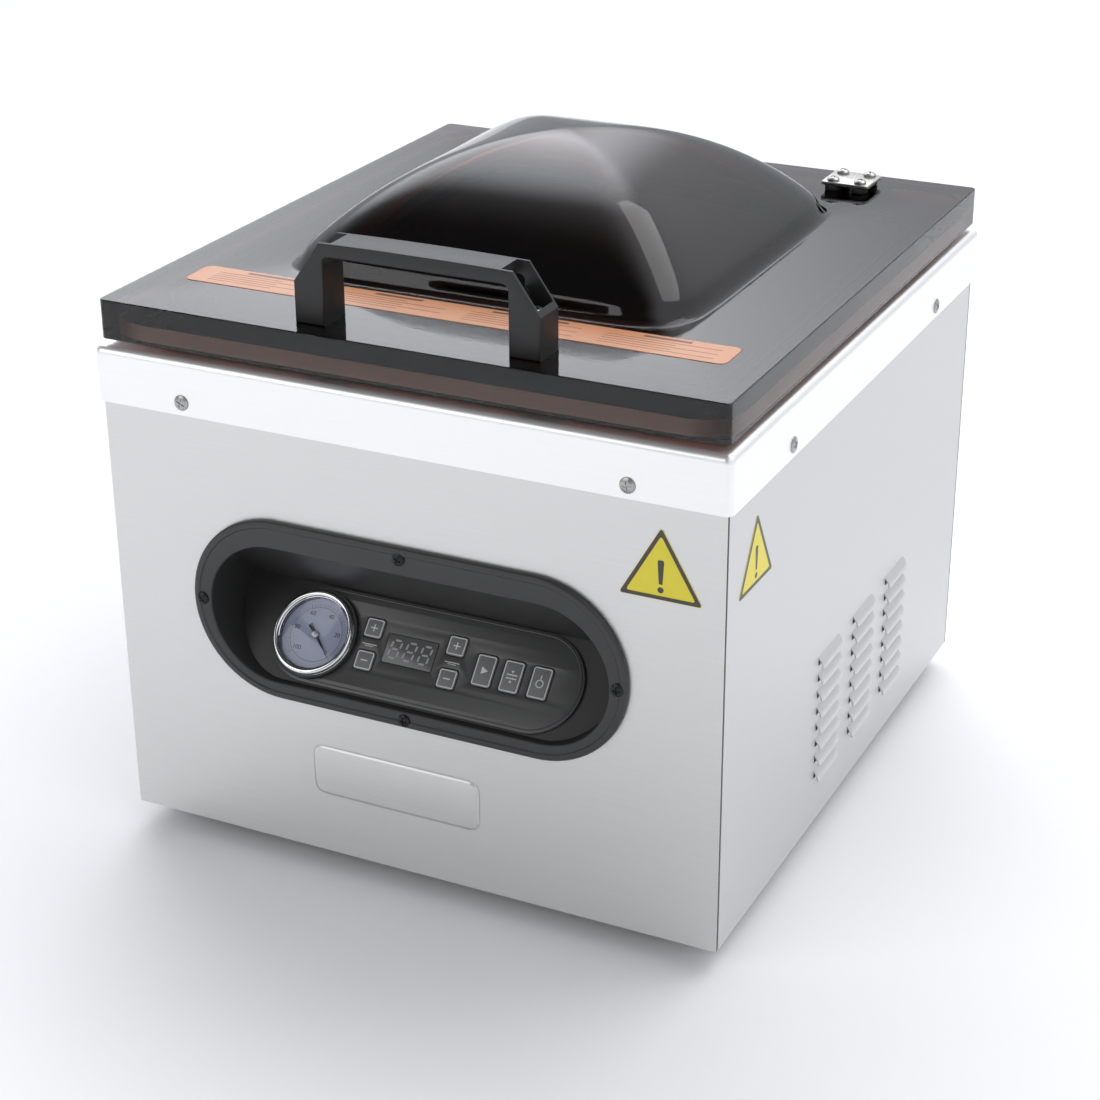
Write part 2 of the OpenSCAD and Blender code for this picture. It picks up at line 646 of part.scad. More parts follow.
module hinge_lid_screws() color("silver") at_hinge_screws()
    translate([0, 0, lid_top + washer_t + clamp_t])
        pan_screw(screw_r, 3.3, 2.2, washer_t + clamp_t + lid_t + leaf_t);

// The blown dome: two height fields over one grid, outer above inner, joined round the rim
module lid_dome() color([0.35, 0.3, 0.3]) translate([0, dome_y, 0]) {
    n = dome_n;
    m = n + 1;
    grid = [for (j = [0 : n], i = [0 : n]) [2 * i / n - 1, 2 * j / n - 1]];
    outer = [for (g = grid) [dome_a * g[0], dome_b * g[1], lid_top + dome_h * crown(g[0], g[1])]];
    inner = [for (g = grid) [dome_a * g[0], dome_b * g[1], lid_z + (lid_t + dome_h - dome_wall)
        * crown(g[0] * dome_a / (dome_a - dome_wall), g[1] * dome_b / (dome_b - dome_wall))]];
    rim = concat([for (i = [0 : n - 1]) i], [for (j = [0 : n - 1]) j * m + n],
        [for (i = [n : -1 : 1]) n * m + i], [for (j = [n : -1 : 1]) j * m]);
    polyhedron(concat(outer, inner), concat(
        [for (j = [0 : n - 1], i = [0 : n - 1], h = [1, m + 1]) let (p = j * m + i)
            h == 1 ? [p, p + m + 1, p + 1] : [p, p + m, p + m + 1]],
        [for (j = [0 : n - 1], i = [0 : n - 1], h = [1, m + 1]) let (p = m * m + j * m + i)
            h == 1 ? [p, p + 1, p + m + 1] : [p, p + m + 1, p + m]],
        [for (q = [0 : len(rim) - 1]) let (a = rim[q], b = rim[(q + 1) % len(rim)])
            [a, b, m * m + b, m * m + a]]), convexity = 6);
}

module gasket_ring(deep) translate([0, (gasket_front + gasket_rear) / 2, 0]) linear_extrude(deep)
    difference() {
        round_rect(2 * gasket_x, gasket_rear - gasket_front, 30);
        round_rect(2 * (gasket_x - gasket_w), gasket_rear - gasket_front - 2 * gasket_w, 30 - gasket_w);
    }
module lid_plate() color([0.35, 0.3, 0.3]) difference() {
    translate([0, lid_y, lid_z]) linear_extrude(lid_t) round_rect(lid_w, casing_d, 3);
    translate([0, dome_y, lid_z + lid_t / 2]) cube([2 * dome_a, 2 * dome_b, lid_t + 2], center = true);
    translate([0, 0, lid_z - eps]) gasket_ring(gasket_deep);
    at_hinge_screws() cylinder(h = 400, r = screw_r);
    for (s = [-1, 1]) translate([handle_x + s * handle_screw_dx, handle_y, lid_z + 4])
        cylinder(h = 40, r = 2.5);
}
module lid_gasket() color("dimgray") translate([0, 0, deck_z + 0.35])
    gasket_ring(lid_gap + gasket_deep - 0.4);
module lid_label() color("orange") translate([0, -124.5, lid_top])
    linear_extrude(0.25) round_rect(288, 23, 4);

module handle_profile() difference() {
    polygon([[-handle_w / 2, 0], [-handle_w / 2, handle_h - handle_chamfer[1]],
        [-handle_w / 2 + handle_chamfer[0], handle_h], [handle_w / 2 - handle_chamfer[0], handle_h],
        [handle_w / 2, handle_h - handle_chamfer[1]], [handle_w / 2, 0]]);
    translate([0, (handle_h - handle_bar) / 2 - 5])
        round_rect(handle_w - 2 * handle_leg, handle_h - handle_bar + 10, 3);
}
module lid_handle() color([0.12, 0.12, 0.12]) translate([handle_x, handle_y, lid_top]) difference() {
    rotate([90, 0, 0]) linear_extrude(handle_d, center = true) handle_profile();
    for (s = [0, 1]) mirror([s, 0, 0]) {
        rotate([90, 0, 0]) linear_extrude(handle_d - 2 * pocket_wall, center = true)
            polygon([[handle_w / 2 - handle_leg + pocket_wall, pocket_floor],
                [handle_w / 2 - pocket_wall, pocket_floor], [handle_w / 2 - pocket_wall, 60],
                [handle_w / 2 - handle_leg + pocket_wall - 6, 60],
                [handle_w / 2 - handle_leg + pocket_wall - 6, handle_h - 8],
                [handle_w / 2 - handle_leg + pocket_wall, handle_h - 14]]);
        translate([handle_screw_dx, 0, -1]) cylinder(h = 40, r = 2.5);
    }
}
module handle_screws() color("silver") for (s = [-1, 1])
    translate([handle_x + s * handle_screw_dx, handle_y, lid_top + pocket_floor]) difference() {
        union() {
            cylinder(h = 5, r = 4.25);
            translate([0, 0, -pocket_floor - lid_t + 4])
                cylinder(h = pocket_floor + lid_t - 4 + eps, r = 2.5);
        }
        translate([0, 0, 2.5]) cylinder(h = 5, r = 2.3, $fn = 6);
    }
module counter_bar() color("firebrick") translate([0, bar_y, 0]) {
    translate([0, 0, lid_z - 2.5]) linear_extrude(2.5) square([bar_l + 6, 16], center = true);
    translate([0, 0, lid_z - 8.5]) linear_extrude(6) square([bar_l, 11], center = true);
}

module seal_bar() color("silver") translate([0, bar_y, 0]) difference() {
    translate([0, 0, bar_z]) linear_extrude(bar_top - bar_z) square([bar_l, bar_w], center = true);
    for (s = [-1, 1]) translate([s * rod_dx, 0, bar_z - 1]) cylinder(h = 13, r = rod_r);
}
module heating_strip() color("tan") translate([0, bar_y, bar_top]) linear_extrude(0.4)
    square([bar_l, bar_w - 2], center = true);
module lift_rods() color("silver") for (s = [-1, 1]) translate([s * rod_dx, bar_y, rod_low])
    cylinder(h = bar_z + 12 - rod_low, r = rod_r);

base_plate();
front_panel();
rear_panel();
left_side_panel();
right_side_panel();
rubber_feet();
foot_screws();
deck();
deck_screws();
chamber_tub();
filler_plates();
suction_fitting();
lift_cylinders();
control_bezel();
bezel_screws();
control_plate();
display_window();
control_board();
gauge_case();
gauge_ring();
gauge_dial();
gauge_glass();
pump_motor();
pump_head();
pump_mounts();
transformer();
power_board();
solenoid_valves();
air_hoses();
wiring_loom();
fan_frame();
power_inlet();
caution_plates();
hinge_lower_leaves();
hinge_pins();
hinge_leaf_screws();
lid_plate();
lid_dome();
lid_gasket();
lid_label();
lid_handle();
handle_screws();
counter_bar();
hinge_upper_leaves();
hinge_clamp_plates();
hinge_washers();
hinge_lid_screws();
seal_bar();
heating_strip();
lift_rods();
key_vac_plus();
key_vac_minus();
key_seal_plus();
key_seal_minus();
key_start();
key_seal();
key_power();
gauge_needle();
fan_impeller();
pump_rotor();
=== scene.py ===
import math

import bmesh
import bpy
from mathutils import Matrix, Vector


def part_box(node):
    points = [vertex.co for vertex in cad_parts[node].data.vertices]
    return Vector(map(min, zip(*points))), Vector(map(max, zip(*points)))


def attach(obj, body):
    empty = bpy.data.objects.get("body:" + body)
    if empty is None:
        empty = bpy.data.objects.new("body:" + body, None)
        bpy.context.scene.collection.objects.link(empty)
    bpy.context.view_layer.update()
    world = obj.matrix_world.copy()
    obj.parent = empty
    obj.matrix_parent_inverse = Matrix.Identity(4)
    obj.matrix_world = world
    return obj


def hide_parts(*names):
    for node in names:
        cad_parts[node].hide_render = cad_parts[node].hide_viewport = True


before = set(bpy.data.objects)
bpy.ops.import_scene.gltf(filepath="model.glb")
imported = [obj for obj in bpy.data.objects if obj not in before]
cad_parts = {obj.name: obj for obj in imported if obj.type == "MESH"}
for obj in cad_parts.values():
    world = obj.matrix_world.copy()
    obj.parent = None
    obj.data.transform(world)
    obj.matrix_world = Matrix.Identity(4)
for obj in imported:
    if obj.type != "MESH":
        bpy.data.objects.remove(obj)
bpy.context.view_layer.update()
scene = bpy.context.scene


# ---- Studio -----------------------------------------------------------------------------
# A pale floor under a soft sky and two large lamps, and a long-lensed camera that stands to the
# right of the machine's front, well above the worktop. Metres throughout.
def hexcol(code):
    """An sRGB hex colour as linear RGBA."""
    parts = [int(code[i:i + 2], 16) / 255 for i in (1, 3, 5)]
    linear = [p / 12.92 if p <= 0.04045 else ((p + 0.055) / 1.055) ** 2.4 for p in parts]
    return (*linear, 1.0)


def add(tree, kind, settings=None, sockets=None):
    """Adds one node with its settings, and sets or links its sockets."""
    node = tree.nodes.new(kind)
    for key, value in (settings or {}).items():
        setattr(node, key, value)
    for key, value in (sockets or {}).items():
        if isinstance(value, bpy.types.NodeSocket):
            tree.links.new(value, node.inputs[key])
        else:
            node.inputs[key].default_value = value
    return node


def surface(name, pale, dark, cell, rough, depth=0.0, **constants):
    """A shader whose colour runs from dark to pale and whose roughness runs over its range in a
    fine pattern with cells of so many mm along X, Y and Z. depth is the pattern's relief in mm."""
    made = bpy.data.materials.new(name)
    made.use_nodes = True
    tree = made.node_tree
    shader = tree.nodes["Principled BSDF"]
    for key, value in constants.items():
        shader.inputs[key.replace("_", " ")].default_value = value
    where = add(tree, "ShaderNodeTexCoord")
    scaled = add(tree, "ShaderNodeMapping", None, {
        "Vector": where.outputs["Object"], "Scale": [1000 / c for c in cell]})
    noise = add(tree, "ShaderNodeTexNoise", {"name": "pattern"}, {
        "Vector": scaled.outputs[0], "Scale": 1.0, "Detail": 3.0})
    tone = add(tree, "ShaderNodeMix", {"name": "tone", "data_type": "RGBA"}, {
        0: noise.outputs[0], 6: hexcol(dark), 7: hexcol(pale)})
    gloss = add(tree, "ShaderNodeMapRange", None, {
        "Value": noise.outputs[0], "From Min": 0.3, "From Max": 0.7,
        "To Min": rough[0], "To Max": rough[1]})
    tree.links.new(tone.outputs[2], shader.inputs["Base Color"])
    tree.links.new(gloss.outputs[0], shader.inputs["Roughness"])
    if depth:
        relief = add(tree, "ShaderNodeBump", {"name": "relief"}, {
            "Height": noise.outputs[0], "Strength": 0.6, "Distance": depth / 1000})
        tree.links.new(relief.outputs[0], shader.inputs["Normal"])
    return made


def outline(w, d, r, x=0.0, y=0.0, steps=8):
    """Points anticlockwise round a rectangle w by d with corners of radius r, middle at x, y."""
    points = []
    for k, (sx, sy) in enumerate(((1, 1), (-1, 1), (-1, -1), (1, -1))):
        for i in range(steps + 1):
            a = math.radians(90 * (k + i / steps))
            points.append((x + sx * (w / 2 - r) + r * math.cos(a),
                           y + sy * (d / 2 - r) + r * math.sin(a)))
    return points


def turned(w, d, r, profile, x=0.0, y=0.0, steps=8):
    """The outline grown outwards by e at height z, for each (e, z) of a profile."""
    return [[(px, py, z) for px, py in outline(w + 2 * e, d + 2 * e, max(r + e, 1e-6), x, y, steps)]
            for e, z in profile]


def soft_edge(low, high, b, steps=3):
    """Profile of a plate's edge from low to high, both arrises rounded to b."""
    turn = [math.radians(90 * i / steps) for i in range(steps + 1)]
    under = [(b * math.sin(a) - b, low + b - b * math.cos(a)) for a in turn]
    over = [(b * math.cos(a) - b, high - b + b * math.sin(a)) for a in turn]
    return under + over


def skin(loops, wrap=False):
    """Loops of equal count joined into a closed skin, capped at both ends or wrapped round."""
    bm = bmesh.new()
    rings = [[bm.verts.new(p) for p in loop] for loop in loops]
    count = len(rings[0])
    pairs = list(zip(rings, rings[1:]))
    if wrap:
        pairs.append((rings[-1], rings[0]))
    for a, b in pairs:
        for i in range(count):
            j = (i + 1) % count
            bm.faces.new((a[i], a[j], b[j], b[i]))
    if not wrap:
        bm.faces.new(rings[0][::-1])
        bm.faces.new(rings[-1])
    return bm


def cut_sheet(outlines, low, high, bevel=0.0):
    """A flat sheet from low to high with these outlines, inner ones being holes."""
    curve = bpy.data.curves.new("cut", "CURVE")
    curve.dimensions = "2D"
    curve.fill_mode = "BOTH"
    for points in outlines:
        spline = curve.splines.new("POLY")
        spline.points.add(len(points) - 1)
        for point, (x, y) in zip(spline.points, points):
            point.co = (x, y, 0, 1)
        spline.use_cyclic_u = True
    curve.extrude = (high - low) / 2 - bevel
    curve.bevel_depth = bevel
    curve.bevel_resolution = 2
    curve.offset = -bevel
    return from_curve(curve, (low + high) / 2)


def from_curve(curve, height):
    """A filled curve or text as a closed mesh, lifted to a height."""
    holder = bpy.data.objects.new("cut", curve)
    mesh = bpy.data.meshes.new_from_object(holder)
    bm = bmesh.new()
    bm.from_mesh(mesh)
    bmesh.ops.translate(bm, verts=bm.verts, vec=(0, 0, height))
    bpy.data.objects.remove(holder)
    bpy.data.meshes.remove(mesh)
    return bm


def solid(name, parts, place=None, sharp=35):
    """One object at the origin from (bmesh, material) parts, with its place in its mesh."""
    whole = bmesh.new()
    mesh = bpy.data.meshes.new(name)
    for index, (bm, material) in enumerate(parts):
        bmesh.ops.remove_doubles(bm, verts=bm.verts, dist=2e-6)
        bmesh.ops.dissolve_degenerate(bm, edges=bm.edges, dist=1e-7)
        bmesh.ops.recalc_face_normals(bm, faces=bm.faces)
        for face in bm.faces:
            face.material_index = index
        step = bpy.data.meshes.new("part")
        bm.to_mesh(step)
        bm.free()
        whole.from_mesh(step)
        bpy.data.meshes.remove(step)
        mesh.materials.append(material)
    if place is not None:
        bmesh.ops.transform(whole, matrix=place, verts=whole.verts)
    whole.to_mesh(mesh)
    whole.free()
    mesh.shade_smooth()
    mesh.set_sharp_from_angle(angle=math.radians(sharp))
    made = bpy.data.objects.new(name, mesh)
    scene.collection.objects.link(made)
    return made


def dress(material, *names):
    """Gives CAD nodes a finish."""
    for name in names:
        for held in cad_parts[name].material_slots:
            held.material = material


def lamp(name, at, towards, width, height, power, tint="#ffffff"):
    data = bpy.data.lights.new(name, "AREA")
    data.shape = "RECTANGLE"
    data.size = width
    data.size_y = height
    data.energy = power
    data.color = hexcol(tint)[:3]
    made = bpy.data.objects.new(name, data)
    made.location = at
    made.rotation_euler = (Vector(towards) - Vector(at)).to_track_quat("-Z", "Y").to_euler()
    scene.collection.objects.link(made)


camera_data = bpy.data.cameras.new("camera")
camera_data.lens = 78.45
camera_data.sensor_width = 36
camera_data.clip_end = 60
camera = bpy.data.objects.new("camera", camera_data)
yaw, pitch, roll = (math.radians(a) for a in (26.07, 24.9, 0.37))
camera.matrix_world = (Matrix.Translation((0.515, -1.073, 0.668)) @ Matrix.Rotation(yaw, 4, "Z")
                       @ Matrix.Rotation(math.pi / 2 - pitch, 4, "X") @ Matrix.Rotation(-roll, 4, "Z"))
scene.collection.objects.link(camera)
scene.camera = camera

world = bpy.data.worlds.new("studio")
scene.world = world
world.use_nodes = True
tree = world.node_tree
heading = add(tree, "ShaderNodeTexCoord")
climb = add(tree, "ShaderNodeSeparateXYZ", None, {0: heading.outputs["Generated"]})
glow = add(tree, "ShaderNodeMapRange", {"interpolation_type": "SMOOTHSTEP"}, {
    "Value": climb.outputs[2], "From Min": -0.1, "From Max": 0.75, "To Min": 0.6, "To Max": 1.25})
# a dark flag hangs in front of the lid and above it, and a bright bank of cloth behind it
flag_way = (-0.42, -0.58, 0.70)
bank_way = (-0.42, 0.63, 0.65)
flag_at = add(tree, "ShaderNodeVectorMath", {"operation": "DOT_PRODUCT"}, {
    0: heading.outputs["Generated"], 1: flag_way})
flag = add(tree, "ShaderNodeMapRange", {"interpolation_type": "SMOOTHSTEP"}, {
    "Value": flag_at.outputs["Value"], "From Min": 0.45, "From Max": 0.86, "To Min": 1.0, "To Max": 0.08})
shaded = add(tree, "ShaderNodeMath", {"operation": "MULTIPLY"}, {0: glow.outputs[0], 1: flag.outputs[0]})
bank_at = add(tree, "ShaderNodeVectorMath", {"operation": "DOT_PRODUCT"}, {
    0: heading.outputs["Generated"], 1: bank_way})
bank = add(tree, "ShaderNodeMapRange", {"interpolation_type": "SMOOTHSTEP"}, {
    "Value": bank_at.outputs["Value"], "From Min": 0.87, "From Max": 0.98, "To Min": 0.0, "To Max": 2.6})
strength = add(tree, "ShaderNodeMath", {"operation": "ADD"}, {0: shaded.outputs[0], 1: bank.outputs[0]})
tree.nodes["Background"].inputs["Color"].default_value = hexcol("#f7f9ff")
tree.links.new(strength.outputs[0], tree.nodes["Background"].inputs["Strength"])
scene.view_settings.view_transform = "Standard"
lamp("lamp_over", (0.9, 1.3, 2.6), (0, 0, 0.2), 2.2, 1.6, 20)
lamp("lamp_front", (-1.6, -2.4, 1.5), (0, 0, 0.15), 2.0, 1.8, 22)

# Matt emulsion rolled on board: pale, with no grain and no reflection.
floor_paint = surface("matt_painted_floor", "#fbfbfb", "#f8f8f8", (40, 40, 40), (0.8, 0.9))
floor = solid("floor", [(skin([[(x, y, z) for x, y in ((-6, -4), (6, -4), (6, 8), (-6, 8))]
                               for z in (-0.02, 0.0)]), floor_paint)])


# ---- Casing -----------------------------------------------------------------------------
# Stainless sheet 1.2 mm thick, cut, bent and brushed. The front sheet laps the two side sheets,
# and its cut edges are painted near black as painted shade, for the thin dark lines down the front
# corners. Its grain, 0.1 mm wide on the real sheet, is drawn 0.5 mm wide.
def brushed(name, pale, dark, cell, rough, depth):
    return surface(name, pale, dark, cell, rough, depth, Metallic=0.75, Specular_IOR_Level=0.5)


# 304 stainless, brushed with an abrasive belt: soft streaks that run level across the front.
front_steel = brushed("brushed_steel_front", "#dededc", "#d3d3d2", (70, 0.5, 0.5), (0.34, 0.42), 0.01)
tree = front_steel.node_tree
facing = add(tree, "ShaderNodeNewGeometry")
parts = add(tree, "ShaderNodeSeparateXYZ", None, {0: facing.outputs["Normal"]})
sideways = add(tree, "ShaderNodeMath", {"operation": "ABSOLUTE"}, {0: parts.outputs[0]})
# faces turned sideways, the sheet's cut edges, are painted near black: painted shade in the seams at the
# front corners
seam_shade_mask = add(tree, "ShaderNodeMath", {"operation": "GREATER_THAN"}, {0: sideways.outputs[0], 1: 0.9})
painted_seam_shade = add(tree, "ShaderNodeMix", {"data_type": "RGBA"}, {
    0: seam_shade_mask.outputs[0], 6: tree.nodes["tone"].outputs[2], 7: hexcol("#161616")})
tree.links.new(painted_seam_shade.outputs[2], tree.nodes["Principled BSDF"].inputs["Base Color"])
dress(front_steel, "rear_panel")
low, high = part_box("left_side_panel")
sheet_low, sheet_high = low.z, high.z
low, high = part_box("front_panel")
sheet_t = 0.0012
w = high.x - low.x
cut_w, cut_h, cut_z = 0.2226, 0.0784, 0.1416
recess_cut = outline(cut_w, cut_h, cut_h / 2, 0, cut_z, steps=20)
front_sheet = cut_sheet([outline(w, sheet_high - sheet_low, 0.0003, 0, (sheet_high + sheet_low) / 2, steps=2),
                         recess_cut], 0.0, sheet_t)
# a plain field pressed outwards by 0.7 mm: its edge is an S, 1.6 mm wide
press_w, press_h = 0.0016, 0.0007
press = [(0.0010, sheet_t - 0.0001), (0.0010, sheet_t)]
press += [(press_w * (0.5 - i / 6), sheet_t + press_h * (0.5 - 0.5 * math.cos(math.pi * i / 6)))
          for i in range(7)]
field_w, field_h, field_r = 0.092, 0.026, 0.005
field_x, field_z = -0.008, 0.0595
pressed_field = skin(turned(field_w, field_h, field_r, press, field_x, field_z))
on_front = Matrix(((1, 0, 0, 0), (0, 0, -1, high.y), (0, 1, 0, 0), (0, 0, 0, 1)))
front = solid("front_sheet_cut", [(front_sheet, front_steel), (pressed_field, front_steel)], on_front)
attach(front, "casing")
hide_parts("front_panel")


# ---- Side sheets ------------------------------------------------------------------------
# One sheet on each side, lanced and pushed out into three columns of louvres. Each louvre is a
# flap joined along its top, open below and at both ends.
def new_tree(name, inputs):
    """A Geometry Nodes tree with named inputs, given as (name, socket type, value)."""
    tree = bpy.data.node_groups.new(name, "GeometryNodeTree")
    tree.interface.new_socket("Geometry", in_out="INPUT", socket_type="NodeSocketGeometry")
    for label, kind, value in inputs:
        held = tree.interface.new_socket(label, in_out="INPUT", socket_type="NodeSocket" + kind)
        if value is not None:
            held.default_value = value
    tree.interface.new_socket("Geometry", in_out="OUTPUT", socket_type="NodeSocketGeometry")
    return tree


def grow(name, base, tree, values):
    """Runs a tree on a base mesh and keeps what it makes as a plain mesh."""
    made = bpy.data.objects.new(name, base)
    scene.collection.objects.link(made)
    modifier = made.modifiers.new("grow", "NODES")
    modifier.node_group = tree
    for item in tree.interface.items_tree:
        if item.item_type == "SOCKET" and item.in_out == "INPUT" and item.name in values:
            modifier[item.identifier] = values[item.name]
    bpy.context.view_layer.update()
    evaluated = made.evaluated_get(bpy.context.evaluated_depsgraph_get())
    mesh = bpy.data.meshes.new_from_object(evaluated)
    made.modifiers.remove(modifier)
    made.data = mesh
    mesh.set_sharp_from_angle(angle=math.radians(35))
    return made


def spots(places):
    """A mesh of points for a tree, each with the direction that it faces."""
    mesh = bpy.data.meshes.new("spots")
    mesh.from_pydata([p for p, _ in places], [], [])
    facing = mesh.attributes.new("facing", "FLOAT_VECTOR", "POINT")
    for i, (_, n) in enumerate(places):
        facing.data[i].vector = n
    return mesh


# 304 stainless, brushed from front to rear: the same soft streaks, turned a quarter. Its tone is
# painted darker than the front sheet's: painted shade on the sides.
side_steel_painted_shade = brushed("brushed_steel_side_painted_shade", "#d4d4d4", "#cacaca", (0.5, 70, 0.5), (0.34, 0.42), 0.01)
flaps = new_tree("louvre_flaps", [
    ("Length", "Float", 0.03), ("Height", "Float", 0.005), ("Reach", "Float", 0.002),
    ("Thickness", "Float", 0.0008), ("Finish", "Material", None)])
given = add(flaps, "NodeGroupInput").outputs
size = add(flaps, "ShaderNodeCombineXYZ", None, {
    0: given["Thickness"], 1: given["Length"], 2: given["Height"]})
strip = add(flaps, "GeometryNodeMeshCube", None, {
    "Size": size.outputs[0], "Vertices X": 2, "Vertices Y": 11, "Vertices Z": 8})
at = add(flaps, "GeometryNodeInputPosition")
split = add(flaps, "ShaderNodeSeparateXYZ", None, {0: at.outputs[0]})
ratio = add(flaps, "ShaderNodeMath", {"operation": "DIVIDE"}, {0: split.outputs[2], 1: given["Height"]})
fallen = add(flaps, "ShaderNodeMath", {"operation": "SUBTRACT", "use_clamp": True}, {
    0: 0.5, 1: ratio.outputs[0]})
bent = add(flaps, "ShaderNodeMath", {"operation": "MULTIPLY"}, {0: fallen.outputs[0], 1: math.pi / 2})
curve = add(flaps, "ShaderNodeMath", {"operation": "SINE"}, {0: bent.outputs[0]})
along = add(flaps, "ShaderNodeMath", {"operation": "DIVIDE"}, {0: split.outputs[1], 1: given["Length"]})
both = add(flaps, "ShaderNodeMath", {"operation": "ABSOLUTE"}, {0: along.outputs[0]})
ends = add(flaps, "ShaderNodeMapRange", {"interpolation_type": "SMOOTHSTEP"}, {
    "Value": both.outputs[0], "From Min": 0.36, "From Max": 0.5, "To Min": 1.0, "To Max": 0.9})
pushed = add(flaps, "ShaderNodeMath", {"operation": "MULTIPLY"}, {0: curve.outputs[0], 1: ends.outputs[0]})
reach = add(flaps, "ShaderNodeMath", {"operation": "MULTIPLY"}, {0: pushed.outputs[0], 1: given["Reach"]})
out = add(flaps, "ShaderNodeCombineXYZ", None, {0: reach.outputs[0]})
flap = add(flaps, "GeometryNodeSetPosition", None, {"Geometry": strip.outputs[0], "Offset": out.outputs[0]})
facing = add(flaps, "GeometryNodeInputNamedAttribute", {"data_type": "FLOAT_VECTOR"}, {"Name": "facing"})
aimed = add(flaps, "FunctionNodeAlignRotationToVector", {"axis": "X", "pivot_axis": "Z"}, {
    "Vector": facing.outputs[0]})
copies = add(flaps, "GeometryNodeInstanceOnPoints", None, {
    "Points": given["Geometry"], "Instance": flap.outputs[0], "Rotation": aimed.outputs[0]})
real = add(flaps, "GeometryNodeRealizeInstances", None, {0: copies.outputs[0]})
smooth = add(flaps, "GeometryNodeSetShadeSmooth", None, {0: real.outputs[0]})
coated = add(flaps, "GeometryNodeSetMaterial", None, {
    "Geometry": smooth.outputs[0], "Material": given["Finish"]})
add(flaps, "NodeGroupOutput", None, {0: coated.outputs[0]})

louvre_ys = [0.0165 + 0.0517 * c for c in (-1, 0, 1)]
louvre_zs = [0.0733 + 0.0094 * (r - 3.5) for r in range(8)]
for side, node in ((1, "right_side_panel"), (-1, "left_side_panel")):
    low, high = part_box(node)
    joint = 0.0008
    cuts = [outline(high.y - low.y - joint, high.z - low.z, 0.0003, side * joint / 2, (high.z + low.z) / 2,
                    steps=2)]
    cuts += [outline(0.0296, 0.0042, 0.0004, side * y, z + 0.0003, steps=2)
             for y in louvre_ys for z in louvre_zs]
    skin_x = w / 2 - sheet_t
    place = Matrix(((0, 0, side, side * skin_x), (side, 0, 0, 0), (0, 1, 0, 0), (0, 0, 0, 1)))
    sheet = solid(node + "_lanced", [(cut_sheet(cuts, 0.0, sheet_t), side_steel_painted_shade)], place)
    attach(sheet, "casing")
    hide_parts(node)
    places = [((side * (w / 2 - 0.0005), y, z + 0.0004), (side, 0, 0)) for y in louvre_ys for z in louvre_zs]
    louvres = grow(node + "_louvres", spots(places), flaps, {
        "Length": 0.030, "Height": 0.0060, "Reach": 0.0034, "Thickness": 0.0008, "Finish": side_steel_painted_shade})
    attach(louvres, "casing")


# ---- Base and feet ----------------------------------------------------------------------
# A galvanised floor with turned-up lips closes the casing. Four moulded rubber feet stand under
# it, each held by a pan screw from below.
# Galvanised mild steel, hot-dipped: dull blue-grey with zinc crystals 9 mm across.
base_steel = brushed("galvanised_base", "#b9bcbc", "#9ea2a4", (9, 9, 9), (0.4, 0.55), 0.0)
dress(base_steel, "base_plate")
# Natural rubber, moulded: dark and matt with a faint pitting.
rubber = surface("moulded_rubber", "#303030", "#242424", (0.8, 0.8, 0.8), (0.65, 0.8), 0.03, IOR=1.52)
dress(rubber, "rubber_feet", "pump_mounts")
# Bright mild steel, turned: fine tool marks round the part and a soft shine.
plain_steel = surface("turned_steel", "#c9c9c9", "#a9a9a9", (0.3, 0.3, 2), (0.22, 0.34), 0.0, Metallic=1.0)
dress(plain_steel, "foot_screws", "lift_rods", "hinge_pins")


# ---- Deck -------------------------------------------------------------------------------
# A pressed steel cap with a turned-down skirt, held by eight countersunk cross-head screws. It is
# painted whiter than the casing: painted light on the top.
# 304 stainless, pressed and then brushed finer than the casing, with a cleaner shine; its whiter
# tone is painted light.
deck_steel_painted_light = brushed("brushed_steel_deck_painted_light", "#fafafa", "#f3f3f2", (60, 60, 0.5), (0.3, 0.38), 0.006)
dress(deck_steel_painted_light, "deck")


cross_head = new_tree("cross_head_screws", [
    ("Head Radius", "Float", 0.004), ("Head Height", "Float", 0.002), ("Crown", "Float", 0.001),
    ("Slot Width", "Float", 0.001), ("Seed", "Int", 3), ("Finish", "Material", None)])
given = add(cross_head, "NodeGroupInput").outputs
head = add(cross_head, "GeometryNodeMeshCylinder", {"fill_type": "TRIANGLE_FAN"}, {
    "Vertices": 28, "Side Segments": 2, "Fill Segments": 5,
    "Radius": given["Head Radius"], "Depth": given["Head Height"]})
at = add(cross_head, "GeometryNodeInputPosition")
split = add(cross_head, "ShaderNodeSeparateXYZ", None, {0: at.outputs[0]})
flat = add(cross_head, "ShaderNodeCombineXYZ", None, {0: split.outputs[0], 1: split.outputs[1]})
reach = add(cross_head, "ShaderNodeVectorMath", {"operation": "LENGTH"}, {0: flat.outputs[0]})
share = add(cross_head, "ShaderNodeMath", {"operation": "DIVIDE"}, {
    0: reach.outputs["Value"], 1: given["Head Radius"]})
steep = add(cross_head, "ShaderNodeMath", {"operation": "POWER"}, {0: share.outputs[0], 1: 3.0})
upper = add(cross_head, "ShaderNodeMath", {"operation": "GREATER_THAN"}, {0: split.outputs[2], 1: 0.0})
fall = add(cross_head, "ShaderNodeMath", {"operation": "MULTIPLY"}, {
    0: steep.outputs[0], 1: upper.outputs[0]})
sink = add(cross_head, "ShaderNodeMath", {"operation": "MULTIPLY"}, {
    0: fall.outputs[0], 1: given["Crown"]})
drop = add(cross_head, "ShaderNodeMath", {"operation": "MULTIPLY"}, {0: sink.outputs[0], 1: -1.0})
down = add(cross_head, "ShaderNodeCombineXYZ", None, {2: drop.outputs[0]})
crowned = add(cross_head, "GeometryNodeSetPosition", None, {
    "Geometry": head.outputs[0], "Offset": down.outputs[0]})
long_side = add(cross_head, "ShaderNodeMath", {"operation": "MULTIPLY"}, {
    0: given["Head Radius"], 1: 1.15})
cutters = []
